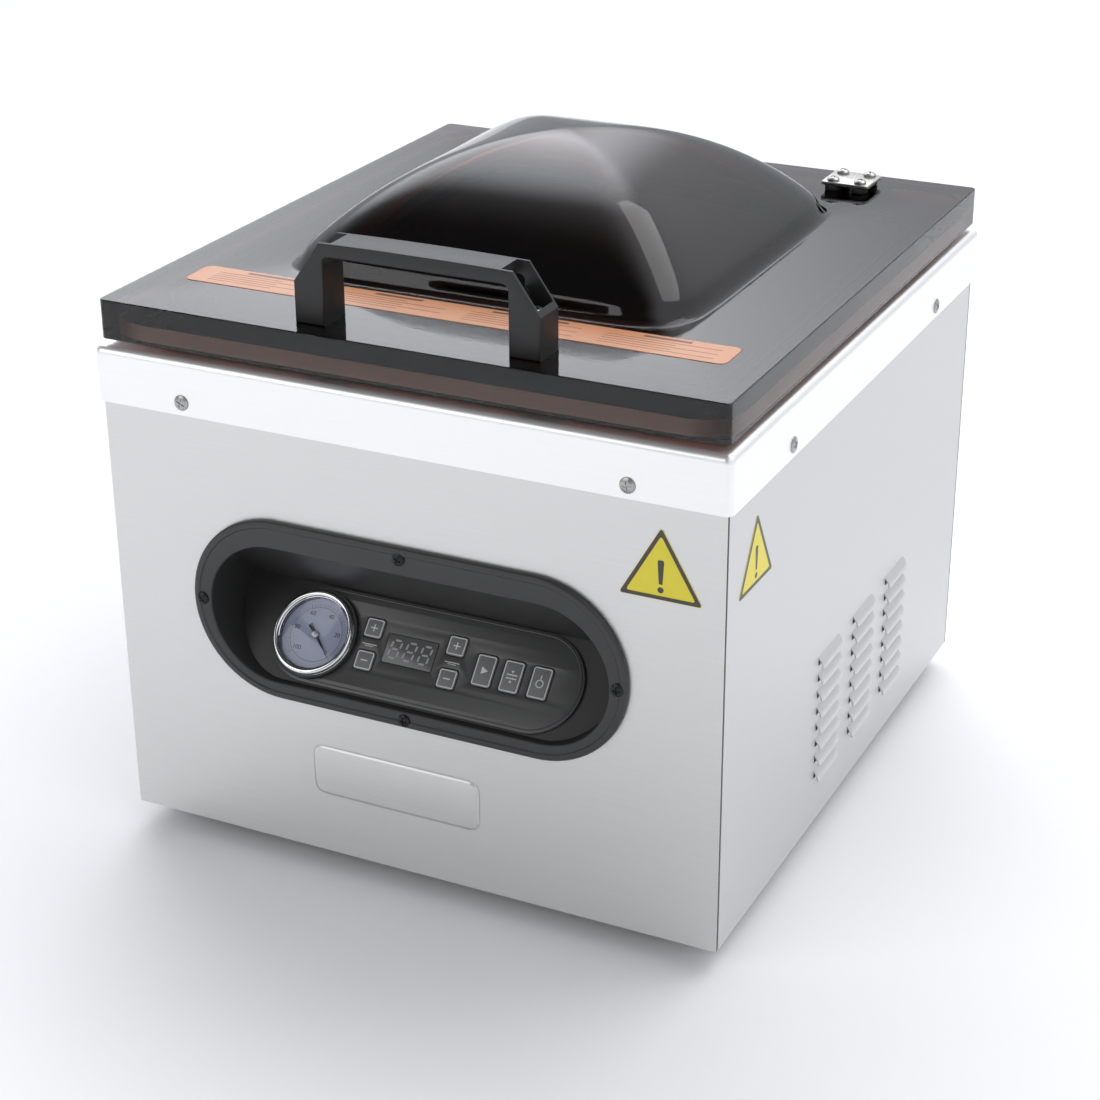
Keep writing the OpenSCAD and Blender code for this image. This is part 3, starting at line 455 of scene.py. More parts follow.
for sizes in ((0, 1), (1, 0)):
    size = add(cross_head, "ShaderNodeCombineXYZ", None, {
        sizes[0]: long_side.outputs[0], sizes[1]: given["Slot Width"], 2: given["Head Height"]})
    block = add(cross_head, "GeometryNodeMeshCube", None, {"Size": size.outputs[0]})
    lifted = add(cross_head, "ShaderNodeCombineXYZ", None, {2: given["Head Height"]})
    half = add(cross_head, "ShaderNodeVectorMath", {"operation": "SCALE"}, {
        0: lifted.outputs[0], "Scale": 0.55})
    cutters.append(add(cross_head, "GeometryNodeTransform", None, {
        "Geometry": block.outputs[0], "Translation": half.outputs[0]}))
slotted = add(cross_head, "GeometryNodeMeshBoolean", {"operation": "DIFFERENCE", "solver": "EXACT"}, {
    "Mesh 1": crowned.outputs[0], "Mesh 2": cutters[0].outputs[0]})
cross_head.links.new(cutters[1].outputs[0], slotted.inputs["Mesh 2"])
rise = add(cross_head, "ShaderNodeMath", {"operation": "MULTIPLY"}, {0: given["Head Height"], 1: 0.48})
up = add(cross_head, "ShaderNodeCombineXYZ", None, {2: rise.outputs[0]})
seated = add(cross_head, "GeometryNodeTransform", None, {
    "Geometry": slotted.outputs[0], "Translation": up.outputs[0]})
facing = add(cross_head, "GeometryNodeInputNamedAttribute", {"data_type": "FLOAT_VECTOR"}, {
    "Name": "facing"})
aimed = add(cross_head, "FunctionNodeAlignRotationToVector", {"axis": "Z"}, {
    "Vector": facing.outputs[0]})
chance = add(cross_head, "FunctionNodeRandomValue", {"data_type": "FLOAT"}, {
    2: 0.0, 3: 1.57, "Seed": given["Seed"]})
spin = add(cross_head, "FunctionNodeAxisAngleToRotation", None, {
    "Axis": (0, 0, 1), "Angle": chance.outputs[1]})
turn = add(cross_head, "FunctionNodeRotateRotation", {"rotation_space": "LOCAL"}, {
    0: aimed.outputs[0], 1: spin.outputs[0]})
copies = add(cross_head, "GeometryNodeInstanceOnPoints", None, {
    "Points": given["Geometry"], "Instance": seated.outputs[0], "Rotation": turn.outputs[0]})
real = add(cross_head, "GeometryNodeRealizeInstances", None, {0: copies.outputs[0]})
smooth = add(cross_head, "GeometryNodeSetShadeSmooth", None, {0: real.outputs[0]})
coated = add(cross_head, "GeometryNodeSetMaterial", None, {
    "Geometry": smooth.outputs[0], "Material": given["Finish"]})
add(cross_head, "NodeGroupOutput", None, {0: coated.outputs[0]})

# Zinc-plated steel, tumbled in a barrel: grey shine, unevenly dulled.
screw_steel = surface("zinc_plated_screw", "#c4c4c2", "#8e8e8c", (0.5, 0.5, 0.5), (0.25, 0.4), 0.0,
                      Metallic=1.0)
low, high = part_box("deck")
screw_x, screw_y, screw_z = 0.1178, 0.107, 0.247
places = [((x, y, screw_z), (0, n, 0)) for y, n in ((low.y, -1), (high.y, 1)) for x in (-screw_x, screw_x)]
places += [((x, y, screw_z), (n, 0, 0)) for x, n in ((low.x, -1), (high.x, 1)) for y in (-screw_y, screw_y)]
skirt_screws = grow("skirt_screws", spots(places), cross_head, {
    "Head Radius": 0.0039, "Head Height": 0.0012, "Crown": 0.0009, "Slot Width": 0.0009,
    "Seed": 4, "Finish": screw_steel})
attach(skirt_screws, "casing")
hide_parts("deck_screws")


# ---- Chamber ----------------------------------------------------------------------------
# A deep-drawn stainless tub under the deck with wide fillets round its floor. Satin inside. Two
# white polyethylene filler plates lie in it, and brass and aluminium fittings pass through it.
# 304 stainless, deep-drawn and left satin: faint streaks drawn down the walls.
tub_steel = brushed("drawn_stainless", "#cfcfcd", "#bdbdbb", (1.2, 1.2, 14), (0.3, 0.42), 0.01)
low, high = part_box("chamber_tub")
tub_w, tub_d, tub_r, tub_y = 0.280, 0.276, 0.024, -0.017
tub_floor = low.z + 0.0015
inner = [(0.0, high.z)]
fillet = 0.012
for i in range(7):
    a = math.radians(15 * i)
    inner.append((-fillet + fillet * math.cos(a), tub_floor + fillet - fillet * math.sin(a)))
wall = 0.0015
outer = [(e + wall * (0 if i == len(inner) - 1 else 1), z - (wall if i == len(inner) - 1 else 0))
         for i, (e, z) in enumerate(inner)]
outer[0] = (wall, high.z - wall)
lip = [(0.009, high.z - wall), (0.009, high.z)]
tub_mesh = skin(turned(tub_w, tub_d, tub_r, inner[::-1] + lip[::-1] + outer, y=tub_y))
tub = solid("chamber_tub_drawn", [(tub_mesh, tub_steel)])
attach(tub, "casing")
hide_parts("chamber_tub")

# Polyethylene board, milled: waxy white, cutter marks 0.6 mm apart down its edges.
milled_white = surface("milled_polyethylene", "#efefec", "#e4e4e0", (3, 3, 0.6), (0.45, 0.6), 0.02,
                       IOR=1.51)
low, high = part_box("filler_plates")
plate_y = (low.y + high.y) / 2
film = 0.0002
layer = (high.z - low.z - film) / 2
filler_w, filler_d, filler_r = 0.240, 0.180, 0.012
finger_hole = 0.018
sheets = []
for base in (low.z, low.z + layer + film):
    cuts = [outline(filler_w, filler_d, filler_r, 0, plate_y)]
    cuts += [outline(finger_hole, finger_hole, finger_hole / 2, x, plate_y) for x in (-0.07, 0.07)]
    sheets.append((cut_sheet(cuts, base, base + layer, 0.0012), milled_white))
fillers = solid("filler_plates_milled", sheets)
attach(fillers, "casing")
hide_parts("filler_plates")

# Free-cutting brass, turned: warm yellow with a soft shine.
brass = surface("turned_brass", "#c9a25a", "#a98443", (0.4, 0.4, 2), (0.25, 0.4), 0.0, Metallic=1.0)
dress(brass, "suction_fitting")
# 6063 aluminium, extruded and milled: pale grey with long soft lines.
aluminium = surface("milled_aluminium", "#cfd1d3", "#bcbec1", (0.5, 12, 0.5), (0.3, 0.42), 0.01,
                    Metallic=1.0)
dress(aluminium, "lift_cylinders", "pump_head")

# ---- Seal bar ---------------------------------------------------------------------------
# An extruded aluminium bar on two rods that lift it 10 mm. A heating wire lies along its top
# under a strip of glass cloth soaked in PTFE, tan and slightly glossy.
low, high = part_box("seal_bar")
bar = skin(turned(high.x - low.x, high.y - low.y, 0.0015, soft_edge(low.z, high.z, 0.001),
                  y=(low.y + high.y) / 2))
seal_bar = solid("seal_bar_extruded", [(bar, aluminium)])
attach(seal_bar, "seal_bar")
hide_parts("seal_bar")
# Glass cloth soaked in PTFE: tan and slightly glossy, its threads drawn 0.9 mm apart to show.
ptfe_cloth = surface("ptfe_glass_cloth", "#b08a5c", "#8e6a42", (0.9, 0.9, 0.9), (0.35, 0.5), 0.02,
                     IOR=1.38)
low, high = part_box("heating_strip")
tape = skin(turned(high.x - low.x, high.y - low.y, 0.001, soft_edge(low.z, high.z, 0.00015),
                   y=(low.y + high.y) / 2))
wire = skin(turned(high.x - low.x - 0.006, 0.0032, 0.0015,
                   soft_edge(high.z - 0.0001, high.z + 0.0003, 0.00015), y=(low.y + high.y) / 2))
heater = solid("heating_tape", [(tape, ptfe_cloth), (wire, ptfe_cloth)])
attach(heater, "seal_bar")
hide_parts("heating_strip")


# ---- Bezel ------------------------------------------------------------------------------
# One injection-moulded ABS part: a flange on the front sheet and, behind it, a pocket whose
# floor leans back to face the user. Spark-eroded satin finish, grain drawn at 0.4 mm.
# ABS, moulded in a spark-eroded tool: black and satin, its grain drawn at 0.4 mm to show.
abs_black = surface("moulded_black_abs", "#303030", "#282828", (0.4, 0.4, 0.4), (0.36, 0.46), 0.012,
                    IOR=1.54)
tilt = math.radians(42.5)
low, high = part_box("control_plate")
plate_w, plate_h, plate_t = 0.1720, 0.0512, 0.0016
plate_mid = 0.026                     # its middle, up the slope from its foot
plate_foot = 0.0004
floor_y = low.y - plate_foot * math.sin(tilt) + plate_t * math.cos(tilt)
floor_z = low.z - plate_foot * math.cos(tilt)
on_plate = Matrix(((1, 0, 0, 0), (0, math.sin(tilt), -math.cos(tilt), floor_y),
                   (0, math.cos(tilt), math.sin(tilt), floor_z), (0, 0, 0, 1)))
low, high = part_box("control_bezel")
face_y = low.y
flange_back = face_y + 0.0032
flange = (0.0703, 0.0484, 0.1445)      # half the straight run, end radius, height of the middle
opening = (0.0721, 0.0367, 0.1416)
crease_y = floor_y + 0.052 * math.sin(tilt)
crease_z = floor_z + 0.052 * math.cos(tilt)
ceiling_z = opening[2] + opening[1]
angles = [-90 + 180 * i / 36 for i in range(37)]
angles.append(math.degrees(math.asin((crease_z - opening[2]) / opening[1])))
angles.sort()


def pocket_depth(z):
    if z <= crease_z:
        return floor_y + (z - floor_z) * math.tan(tilt)
    return crease_y + (z - crease_z) / (ceiling_z - crease_z) * (flange_back - crease_y)


def run_round(shape, grow_by, y=None):
    run, radius, middle = shape
    right = [((run + (radius + grow_by) * math.cos(a)), middle + (radius + grow_by) * math.sin(a))
             for a in map(math.radians, angles)]
    whole = right + [(-x, z) for x, z in reversed(right)]
    return [(x, pocket_depth(z) if y is None else y, z) for x, z in whole]


bezel_mesh = bmesh.new()
rings = [run_round(flange, 0, flange_back - 0.0002), run_round(flange, 0, face_y + 0.0016)]
for i in range(1, 5):
    a = math.radians(22.5 * i)
    rings.append(run_round(flange, -0.0016 + 0.0016 * math.cos(a), face_y + 0.0016 - 0.0016 * math.sin(a)))
rings.append(run_round(flange, -0.0034, face_y))
rings.append(run_round(flange, -0.0040, face_y + 0.0006))
for i in range(4):
    a = math.radians(30 * i)
    rings.append(run_round(opening, 0.0012 - 0.0012 * math.sin(a), face_y + 0.0018 - 0.0012 * math.cos(a)))
rings.append(run_round(opening, 0))
rings = [[bezel_mesh.verts.new(p) for p in ring] for ring in rings]
for a, b in zip(rings, rings[1:]):
    for i in range(len(a)):
        j = (i + 1) % len(a)
        bezel_mesh.faces.new((a[i], a[j], b[j], b[i]))
inner = rings[-1]
for i in range(len(angles) - 1):
    bezel_mesh.faces.new((inner[i], inner[i + 1], inner[-2 - i], inner[-1 - i]))
bezel = solid("control_bezel_moulded", [(bezel_mesh, abs_black)], sharp=25)
wall = bezel.modifiers.new("wall", "SOLIDIFY")
wall.thickness = 0.0018
wall.offset = -1
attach(bezel, "casing")
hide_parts("control_bezel")

# Steel blackened in a bath: near black, with a low metallic shine.
black_zinc = surface("blackened_zinc_screw", "#3a3a3c", "#1e1e20", (0.5, 0.5, 0.5), (0.28, 0.4), 0.0,
                     Metallic=0.8)
land_y = face_y + 0.0006
end_x, end_z = 0.1136, 0.1434
middle_x, middle_zs = -0.0005, (0.1003, 0.1872)
places = [((x, land_y, end_z), (0, -1, 0)) for x in (-end_x, end_x)]
places += [((middle_x, land_y, z), (0, -1, 0)) for z in middle_zs]
bezel_screws = grow("bezel_cross_screws", spots(places), cross_head, {
    "Head Radius": 0.0033, "Head Height": 0.0016, "Crown": 0.0009, "Slot Width": 0.0008,
    "Seed": 9, "Finish": black_zinc})
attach(bezel_screws, "casing")
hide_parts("bezel_screws")


# ---- Control plate ----------------------------------------------------------------------
# A moulded black plate on the pocket's floor, cut for the gauge, the display and seven keys,
# with a fine screen-printed rule in place of each caption. Slightly glossier than the bezel.
# ABS, moulded in a stoned tool: black, a little glossier than the bezel.
plate_black = surface("moulded_plate", "#474747", "#3f3f3f", (0.5, 0.5, 0.5), (0.3, 0.38), 0.006, IOR=1.54)
# Screen-printed ink: pale grey, matt and a hair thick.
print_grey = surface("screen_print", "#d8d8d8", "#c9c9c9", (0.3, 0.3, 0.3), (0.45, 0.55), 0.0)
small, tall = (0.010, 0.010), (0.0106, 0.0162)
gauge_at = (-0.0615, 0.0254)
display_at = (-0.0082, 0.0268)
display_size = (0.0274, 0.0148)
keys = {"key_vac_plus": (-0.031, 0.035, small), "key_vac_minus": (-0.031, 0.018, small),
        "key_seal_plus": (0.0153, 0.035, small), "key_seal_minus": (0.0153, 0.018, small),
        "key_start": (0.0332, 0.026, tall), "key_seal": (0.0481, 0.026, tall),
        "key_power": (0.0633, 0.026, tall)}
key_r = 0.0015
cuts = [outline(plate_w, plate_h, plate_h / 2, 0, plate_mid, steps=16),
        outline(0.0408, 0.0408, 0.0204, *gauge_at, steps=12),
        outline(display_size[0] + 0.0002, display_size[1] + 0.0002, 0.0006, *display_at)]
for x, s, size in keys.values():
    cuts.append(outline(size[0] + 0.0006, size[1] + 0.0006, key_r + 0.0003, x, s))
plate = cut_sheet(cuts, 0.0001, plate_t, 0.0005)
rim = [(-0.0019, plate_t - 0.0003), (-0.0019, plate_t + 0.0003), (-0.0016, plate_t + 0.0004),
       (-0.0014, plate_t + 0.0003), (-0.0014, plate_t - 0.0003)]
bead = skin(turned(plate_w, plate_h, plate_h / 2, rim, y=plate_mid, steps=16), wrap=True)
rules = [outline(0.0080, 0.0004, 0.0001, x, 0.0265) for x in (-0.031, 0.0153)]
rules += [outline(0.0046, 0.0003, 0.0001, x, 0.0256) for x in (-0.031, 0.0153)]
printed = cut_sheet(rules, plate_t - 0.0002, plate_t + 0.00004)
control_plate = solid("control_plate_moulded", [(plate, plate_black), (bead, plate_black),
                                                (printed, print_grey)], on_plate)
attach(control_plate, "casing")
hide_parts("control_plate")

# ---- Keys -------------------------------------------------------------------------------
# Seven moulded silicone caps, each with a printed outline and a printed sign: plus and minus,
# and on the tall ones a triangle, a pressed seam and the usual power ring.
# Silicone rubber, moulded: mid grey and satin.
key_grey = surface("moulded_key", "#747474", "#6a6a6a", (0.4, 0.4, 0.4), (0.4, 0.5), 0.01, IOR=1.5)
key_foot, key_top = 0.0008, 0.0020        # the foot clears the pocket floor when pressed 0.6 mm
print_low, print_high = key_top - 0.0002, key_top + 0.00005


def bar(x, y, w, h):
    return outline(w, h, min(w, h) * 0.2, x, y, steps=3)


def ring_cut(x, y, r, width):
    return [outline(2 * r, 2 * r, r, x, y), outline(2 * (r - width), 2 * (r - width), r - width, x, y)]


signs = {"plus": [[(x * 0.001, y * 0.001) for x, y in (
    (-0.3, -1.9), (0.3, -1.9), (0.3, -0.3), (1.9, -0.3), (1.9, 0.3), (0.3, 0.3), (0.3, 1.9), (-0.3, 1.9),
    (-0.3, 0.3), (-1.9, 0.3), (-1.9, -0.3), (-0.3, -0.3))]],
    "minus": [bar(0, 0, 0.0038, 0.0006)],
    "start": [[(-0.0014, -0.0019), (0.0021, 0.0), (-0.0014, 0.0019)]],
    "seal": [bar(0, 0.0009, 0.0056, 0.0006), bar(0, -0.0009, 0.0056, 0.0006),
             [(-0.0008, 0.0030), (0, 0.0018), (0.0008, 0.0030)],
             [(0, -0.0018), (-0.0008, -0.0030), (0.0008, -0.0030)]],
    "power": ring_cut(0, -0.0004, 0.0021, 0.0005) + [bar(0, 0.0029, 0.0006, 0.0020)]}
for name, (x, s, size) in keys.items():
    cap = skin(turned(*size, key_r, soft_edge(key_foot, key_top, 0.0004)))
    band = skin(turned(*size, key_r, [(-0.0010, print_low), (-0.0010, print_high),
                                      (-0.0005, print_high), (-0.0005, print_low)]), wrap=True)
    sign = cut_sheet(signs[name.split("_")[-1]], print_low, print_high)
    key = solid(name + "_cap", [(cap, key_grey), (band, print_grey), (sign, print_grey)],
                on_plate @ Matrix.Translation((x, s, 0)))
    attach(key, name)
    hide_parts(name)

# ---- Display ----------------------------------------------------------------------------
# A smoked acrylic lens over three seven-segment digits, which are off and so show as pale grey
# segments on darker grey.
# Acrylic, smoked and polished: grey, with a sharp reflection.
lens_grey = surface("smoked_lens", "#5e5e5e", "#565656", (4, 4, 4), (0.12, 0.18), 0.0, IOR=1.49)
# Epoxy, cast in the unlit segments: pale grey and matt.
segment_grey = surface("unlit_segment", "#a4a4a4", "#989898", (0.5, 0.5, 0.5), (0.4, 0.5), 0.0)
lens = skin(turned(*display_size, 0.0005, soft_edge(0.0002, plate_t + 0.0002, 0.0002)))
digit_w, digit_h, digit_pitch, stroke = 0.0050, 0.0092, 0.0084, 0.0010
lean = math.tan(math.radians(8))
segments = []
for x in (-digit_pitch, 0.0, digit_pitch):
    strokes = [(x, y, digit_w - 1.3 * stroke, stroke) for y in (-digit_h / 2, 0, digit_h / 2)]
    strokes += [(x + side * digit_w / 2, up * digit_h / 4, stroke, digit_h / 2 - 1.3 * stroke)
                for side in (-1, 1) for up in (-1, 1)]
    for sx, sy, w, h in strokes:
        if w > h:
            tip = h / 2
            ends = [(-w / 2, 0), (-w / 2 + tip, -tip), (w / 2 - tip, -tip), (w / 2, 0), (w / 2 - tip, tip),
                    (-w / 2 + tip, tip)]
        else:
            tip = w / 2
            ends = [(0, -h / 2), (tip, -h / 2 + tip), (tip, h / 2 - tip), (0, h / 2), (-tip, h / 2 - tip),
                    (-tip, -h / 2 + tip)]
        segments.append([(sx + px + lean * (sy + py), sy + py) for px, py in ends])
digits = cut_sheet(segments, plate_t, plate_t + 0.00026)
display = solid("display_lens", [(lens, lens_grey), (digits, segment_grey)],
                on_plate @ Matrix.Translation((*display_at, 0)))
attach(display, "casing")
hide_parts("display_window")


# ---- Vacuum gauge -----------------------------------------------------------------------
# A 40 mm gauge: a black steel case, a pressed ring in polished chrome, a printed aluminium dial
# in cool white behind a flat glass, and a black needle on a turned hub.
on_gauge = on_plate @ Matrix.Translation((*gauge_at, 0))
# Mild steel, pressed and stove-enamelled: black and satin.
case_black = surface("stoved_black_case", "#232323", "#1a1a1a", (1, 1, 1), (0.3, 0.4), 0.01)
dress(case_black, "gauge_case")
# Chromium plate, polished: a bright mirror that picks up the dark bezel.
chrome = surface("polished_chrome", "#e8e8ea", "#dcdcde", (5, 5, 5), (0.04, 0.08), 0.0, Metallic=1.0)
ring_profile = [(0.0186, 0.0030), (0.0186, 0.0052)]
for i in range(9):
    a = math.radians(180 - 22.5 * i)
    ring_profile.append((0.0204 + 0.0015 * math.cos(a), 0.0054 + 0.0014 * math.sin(a)))
ring_profile += [(0.0222, 0.0044), (0.0232, 0.0036), (0.0234, 0.0030), (0.0234, 0.0018), (0.0186, 0.0018)]


def lathe(profile, steps=16, wrap=False):
    """A profile of (radius, height) turned about Z."""
    return skin([[(x, y, z) for x, y in outline(2 * r, 2 * r, r, steps=steps)] for r, z in profile], wrap)


gauge_ring = solid("gauge_ring_pressed", [(lathe(ring_profile, wrap=True), chrome)], on_gauge)
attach(gauge_ring, "casing")
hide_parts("gauge_ring")

# Aluminium, printed cool white: flat and matt.
dial_white = surface("printed_dial", "#ccd2ec", "#c4cae6", (6, 6, 6), (0.5, 0.6), 0.0)
# Printing ink on the dial: dark blue-grey and matt.
dial_ink = surface("dial_ink", "#30323c", "#262832", (0.5, 0.5, 0.5), (0.5, 0.6), 0.0)
dial_ticks = new_tree("dial_ticks", [
    ("Count", "Int", 51), ("Radius", "Float", 0.0165), ("Start", "Float", 0.0), ("Sweep", "Float", 4.7),
    ("Length", "Float", 0.0012), ("Width", "Float", 0.0002), ("Every", "Int", 5),
    ("Finish", "Material", None)])
given = add(dial_ticks, "NodeGroupInput").outputs
row = add(dial_ticks, "GeometryNodePoints", None, {"Count": given["Count"], "Radius": 0.001})
index = add(dial_ticks, "GeometryNodeInputIndex")
last = add(dial_ticks, "ShaderNodeMath", {"operation": "SUBTRACT"}, {0: given["Count"], 1: 1.0})
share = add(dial_ticks, "ShaderNodeMath", {"operation": "DIVIDE"}, {0: index.outputs[0], 1: last.outputs[0]})
angle = add(dial_ticks, "ShaderNodeMath", {"operation": "MULTIPLY_ADD"}, {
    0: share.outputs[0], 1: given["Sweep"], 2: given["Start"]})
whole_turn = add(dial_ticks, "ShaderNodeCombineXYZ", None, {2: angle.outputs[0]})
start_at = add(dial_ticks, "ShaderNodeCombineXYZ", None, {0: given["Radius"]})
placed = add(dial_ticks, "ShaderNodeVectorRotate", {"rotation_type": "Z_AXIS"}, {
    "Vector": start_at.outputs[0], "Angle": angle.outputs[0]})
spread = add(dial_ticks, "GeometryNodeSetPosition", None, {
    "Geometry": row.outputs[0], "Position": placed.outputs[0]})
rest = add(dial_ticks, "ShaderNodeMath", {"operation": "MODULO"}, {0: index.outputs[0], 1: given["Every"]})
is_long = add(dial_ticks, "ShaderNodeMath", {"operation": "LESS_THAN"}, {0: rest.outputs[0], 1: 0.5})
stretch = add(dial_ticks, "ShaderNodeMath", {"operation": "ADD"}, {0: is_long.outputs[0], 1: 1.0})
grown = add(dial_ticks, "ShaderNodeCombineXYZ", None, {0: stretch.outputs[0], 1: 1.0, 2: 1.0})
size = add(dial_ticks, "ShaderNodeCombineXYZ", None, {0: given["Length"], 1: given["Width"], 2: 0.00006})
tick = add(dial_ticks, "GeometryNodeMeshCube", None, {"Size": size.outputs[0]})
copies = add(dial_ticks, "GeometryNodeInstanceOnPoints", None, {
    "Points": spread.outputs[0], "Instance": tick.outputs[0], "Rotation": whole_turn.outputs[0],
    "Scale": grown.outputs[0]})
real = add(dial_ticks, "GeometryNodeRealizeInstances", None, {0: copies.outputs[0]})
inked = add(dial_ticks, "GeometryNodeSetMaterial", None, {
    "Geometry": real.outputs[0], "Material": given["Finish"]})
add(dial_ticks, "NodeGroupOutput", None, {0: inked.outputs[0]})

dial_top = 0.0012
first = math.radians(-45)
sweep = math.radians(270)
scale_marks = grow("scale_marks", bpy.data.meshes.new("none"), dial_ticks, {
    "Count": 51, "Radius": 0.0150, "Start": first, "Sweep": sweep, "Length": 0.0011, "Width": 0.00016,
    "Every": 5, "Finish": dial_ink})
marks = bmesh.new()
marks.from_mesh(scale_marks.data)
bmesh.ops.translate(marks, verts=marks.verts, vec=(0, 0, dial_top + 0.00004))
bpy.data.objects.remove(scale_marks)
numbers = bmesh.new()
for step, value in enumerate((0, 20, 40, 60, 80, 100)):
    text = bpy.data.curves.new("number", "FONT")
    text.body = str(value)
    text.size = 0.0032
    text.extrude = 0.00003
    text.align_x = "CENTER"
    text.align_y = "CENTER"
    a = first + sweep * step / 5
    one = from_curve(text, dial_top + 0.00004)
    bmesh.ops.translate(one, verts=one.verts, vec=(0.0114 * math.cos(a), 0.0114 * math.sin(a), 0))
    passing = bpy.data.meshes.new("number")
    one.to_mesh(passing)
    one.free()
    numbers.from_mesh(passing)
    bpy.data.meshes.remove(passing)
inner_arc = lathe([(0.0138, dial_top - 0.0001), (0.0138, dial_top + 0.00006), (0.01395, dial_top + 0.00006),
                   (0.01395, dial_top - 0.0001)], wrap=True)
disc = lathe([(0.0012, 0.0004), (0.0184, 0.0004), (0.0184, dial_top), (0.0012, dial_top)], wrap=True)
dial = solid("gauge_dial_printed", [(disc, dial_white), (marks, dial_ink), (numbers, dial_ink),
                                    (inner_arc, dial_ink)], on_gauge)
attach(dial, "casing")
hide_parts("gauge_dial")

# Float glass: clear, with a reflection that grows at a flat angle.
gauge_pane = surface("float_glass", "#ffffff", "#fbfdff", (8, 8, 8), (0.0, 0.02), 0.0, IOR=1.45,
                     Transmission_Weight=1.0)
pane = solid("gauge_pane", [(skin(turned(0.0366, 0.0366, 0.0183, soft_edge(0.0032, 0.0042, 0.0002),
                                         steps=16)), gauge_pane)], on_gauge)
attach(pane, "casing")
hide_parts("gauge_glass")

# Aluminium, stamped and painted: black and matt.
needle_black = surface("painted_needle", "#26262a", "#1c1c20", (1, 1, 1), (0.4, 0.5), 0.0)
blade = cut_sheet([[(-0.0062, -0.0011), (-0.0012, -0.0007), (0.0135, -0.00018), (0.0142, 0.0),
                    (0.0135, 0.00018), (-0.0012, 0.0007), (-0.0062, 0.0011)]], 0.0017, 0.0021)
hub = lathe([(0.0, 0.0014), (0.0019, 0.0014), (0.0019, 0.0024), (0.0016, 0.0027), (0.0, 0.0028)])
needle = solid("gauge_needle_blade", [(blade, needle_black), (hub, plain_steel)],
               on_gauge @ Matrix.Rotation(first, 4, "Z"))
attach(needle, "gauge_needle")
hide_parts("gauge_needle")


# ---- Caution plates ---------------------------------------------------------------------
# Two printed vinyl triangles, rounded at the corners: yellow inside a dark border, with a plain
# bar and dot. Gloss laminate over the print.
# PVC film, printed and laminated: even yellow with a soft gloss.
vinyl_yellow = surface("yellow_vinyl", "#e6d73e", "#dfd036", (5, 5, 5), (0.3, 0.4), 0.0, IOR=1.5)
# Printing ink under the same laminate: dark brown-grey with a soft gloss.
vinyl_dark = surface("dark_vinyl_ink", "#4a443a", "#3f3a32", (5, 5, 5), (0.3, 0.4), 0.0, IOR=1.5)


def rounded_triangle(side, r, steps=6):
    """An upright triangle of that side, drawn round its middle, with corners of radius r."""
    points = []
    reach = side / math.sqrt(3) - 2 * r
    for corner in (90, 210, 330):
        cx = reach * math.cos(math.radians(corner))
        cy = reach * math.sin(math.radians(corner))
        for i in range(steps + 1):
            a = math.radians(corner - 60 + 120 * i / steps)
            points.append((cx + r * math.cos(a), cy + r * math.sin(a)))
    return points


side = 0.0415
low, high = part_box("caution_plates")
places = {"caution_front": Matrix(((1, 0, 0, 0.1334), (0, 0, -1, low.y + 0.0003), (0, 1, 0, 0.2046),
                                   (0, 0, 0, 1))),
          "caution_side": Matrix(((0, 0, 1, high.x - 0.0003), (1, 0, 0, -0.144), (0, 1, 0, 0.203),
                                  (0, 0, 0, 1)))}
for name, place in places.items():
    backing = cut_sheet([rounded_triangle(side, 0.0010)], 0.00002, 0.00022)
    border = cut_sheet([rounded_triangle(side - 0.0006, 0.0009), rounded_triangle(side - 0.0072, 0.0008)],
                       0.00020, 0.00027)
    mark = cut_sheet([[(-0.0016, 0.0070), (-0.0009, -0.0042), (0.0009, -0.0042), (0.0016, 0.0070),
                       (0.0011, 0.0078), (-0.0011, 0.0078)],
                      outline(0.0030, 0.0030, 0.0015, 0, -0.0070)], 0.00020, 0.00027)
    plate = solid(name, [(backing, vinyl_yellow), (border, vinyl_dark), (mark, vinyl_dark)], place)
    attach(plate, "casing")
    if name == "caution_front":
        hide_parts("caution_plates")


# ---- Machinery --------------------------------------------------------------------------
# What stands in the base, behind the louvres: an oil pump with its enamelled motor, a fan, the
# transformer, boards, valves, hoses and wires, each in its usual trade finish.
# Stoved enamel on cast iron: dark blue-grey with a slight orange peel.
enamel = surface("stoved_enamel", "#2c3034", "#24282c", (1.5, 1.5, 1.5), (0.35, 0.45), 0.02)
dress(enamel, "pump_motor")
dress(abs_black, "fan_frame", "fan_impeller", "power_inlet")
# Epoxy solder mask over copper: green with a soft gloss.
board_green = surface("solder_mask", "#1d5c34", "#174b2a", (2, 2, 2), (0.25, 0.4), 0.01)
dress(board_green, "control_board", "power_board")
# Steel laminations, varnished: brown with lines 0.5 mm apart.
core_brown = surface("varnished_core", "#6a4a2a", "#54391f", (6, 0.5, 0.5), (0.35, 0.5), 0.02)
dress(core_brown, "transformer")
# Glass-filled nylon, moulded: mid grey and matt.
valve_grey = surface("moulded_valve", "#7c7c7a", "#6c6c6a", (0.6, 0.6, 0.6), (0.4, 0.55), 0.01)
dress(valve_grey, "solenoid_valves")
# Silicone rubber, extruded: milky and satin.
silicone = surface("extruded_silicone", "#c9c9c0", "#bdbdb4", (1, 1, 1), (0.35, 0.5), 0.01, IOR=1.41)
dress(silicone, "air_hoses")
# PVC, extruded: black and dull.
pvc = surface("pvc_sheath", "#202020", "#181818", (1, 1, 1), (0.45, 0.6), 0.01)
dress(pvc, "wiring_loom")
# Tool steel, ground: grey with fine lines.
rotor_steel = surface("ground_rotor", "#8c8c8c", "#7a7a7a", (0.4, 3, 3), (0.3, 0.45), 0.0, Metallic=1.0)
dress(rotor_steel, "pump_rotor")


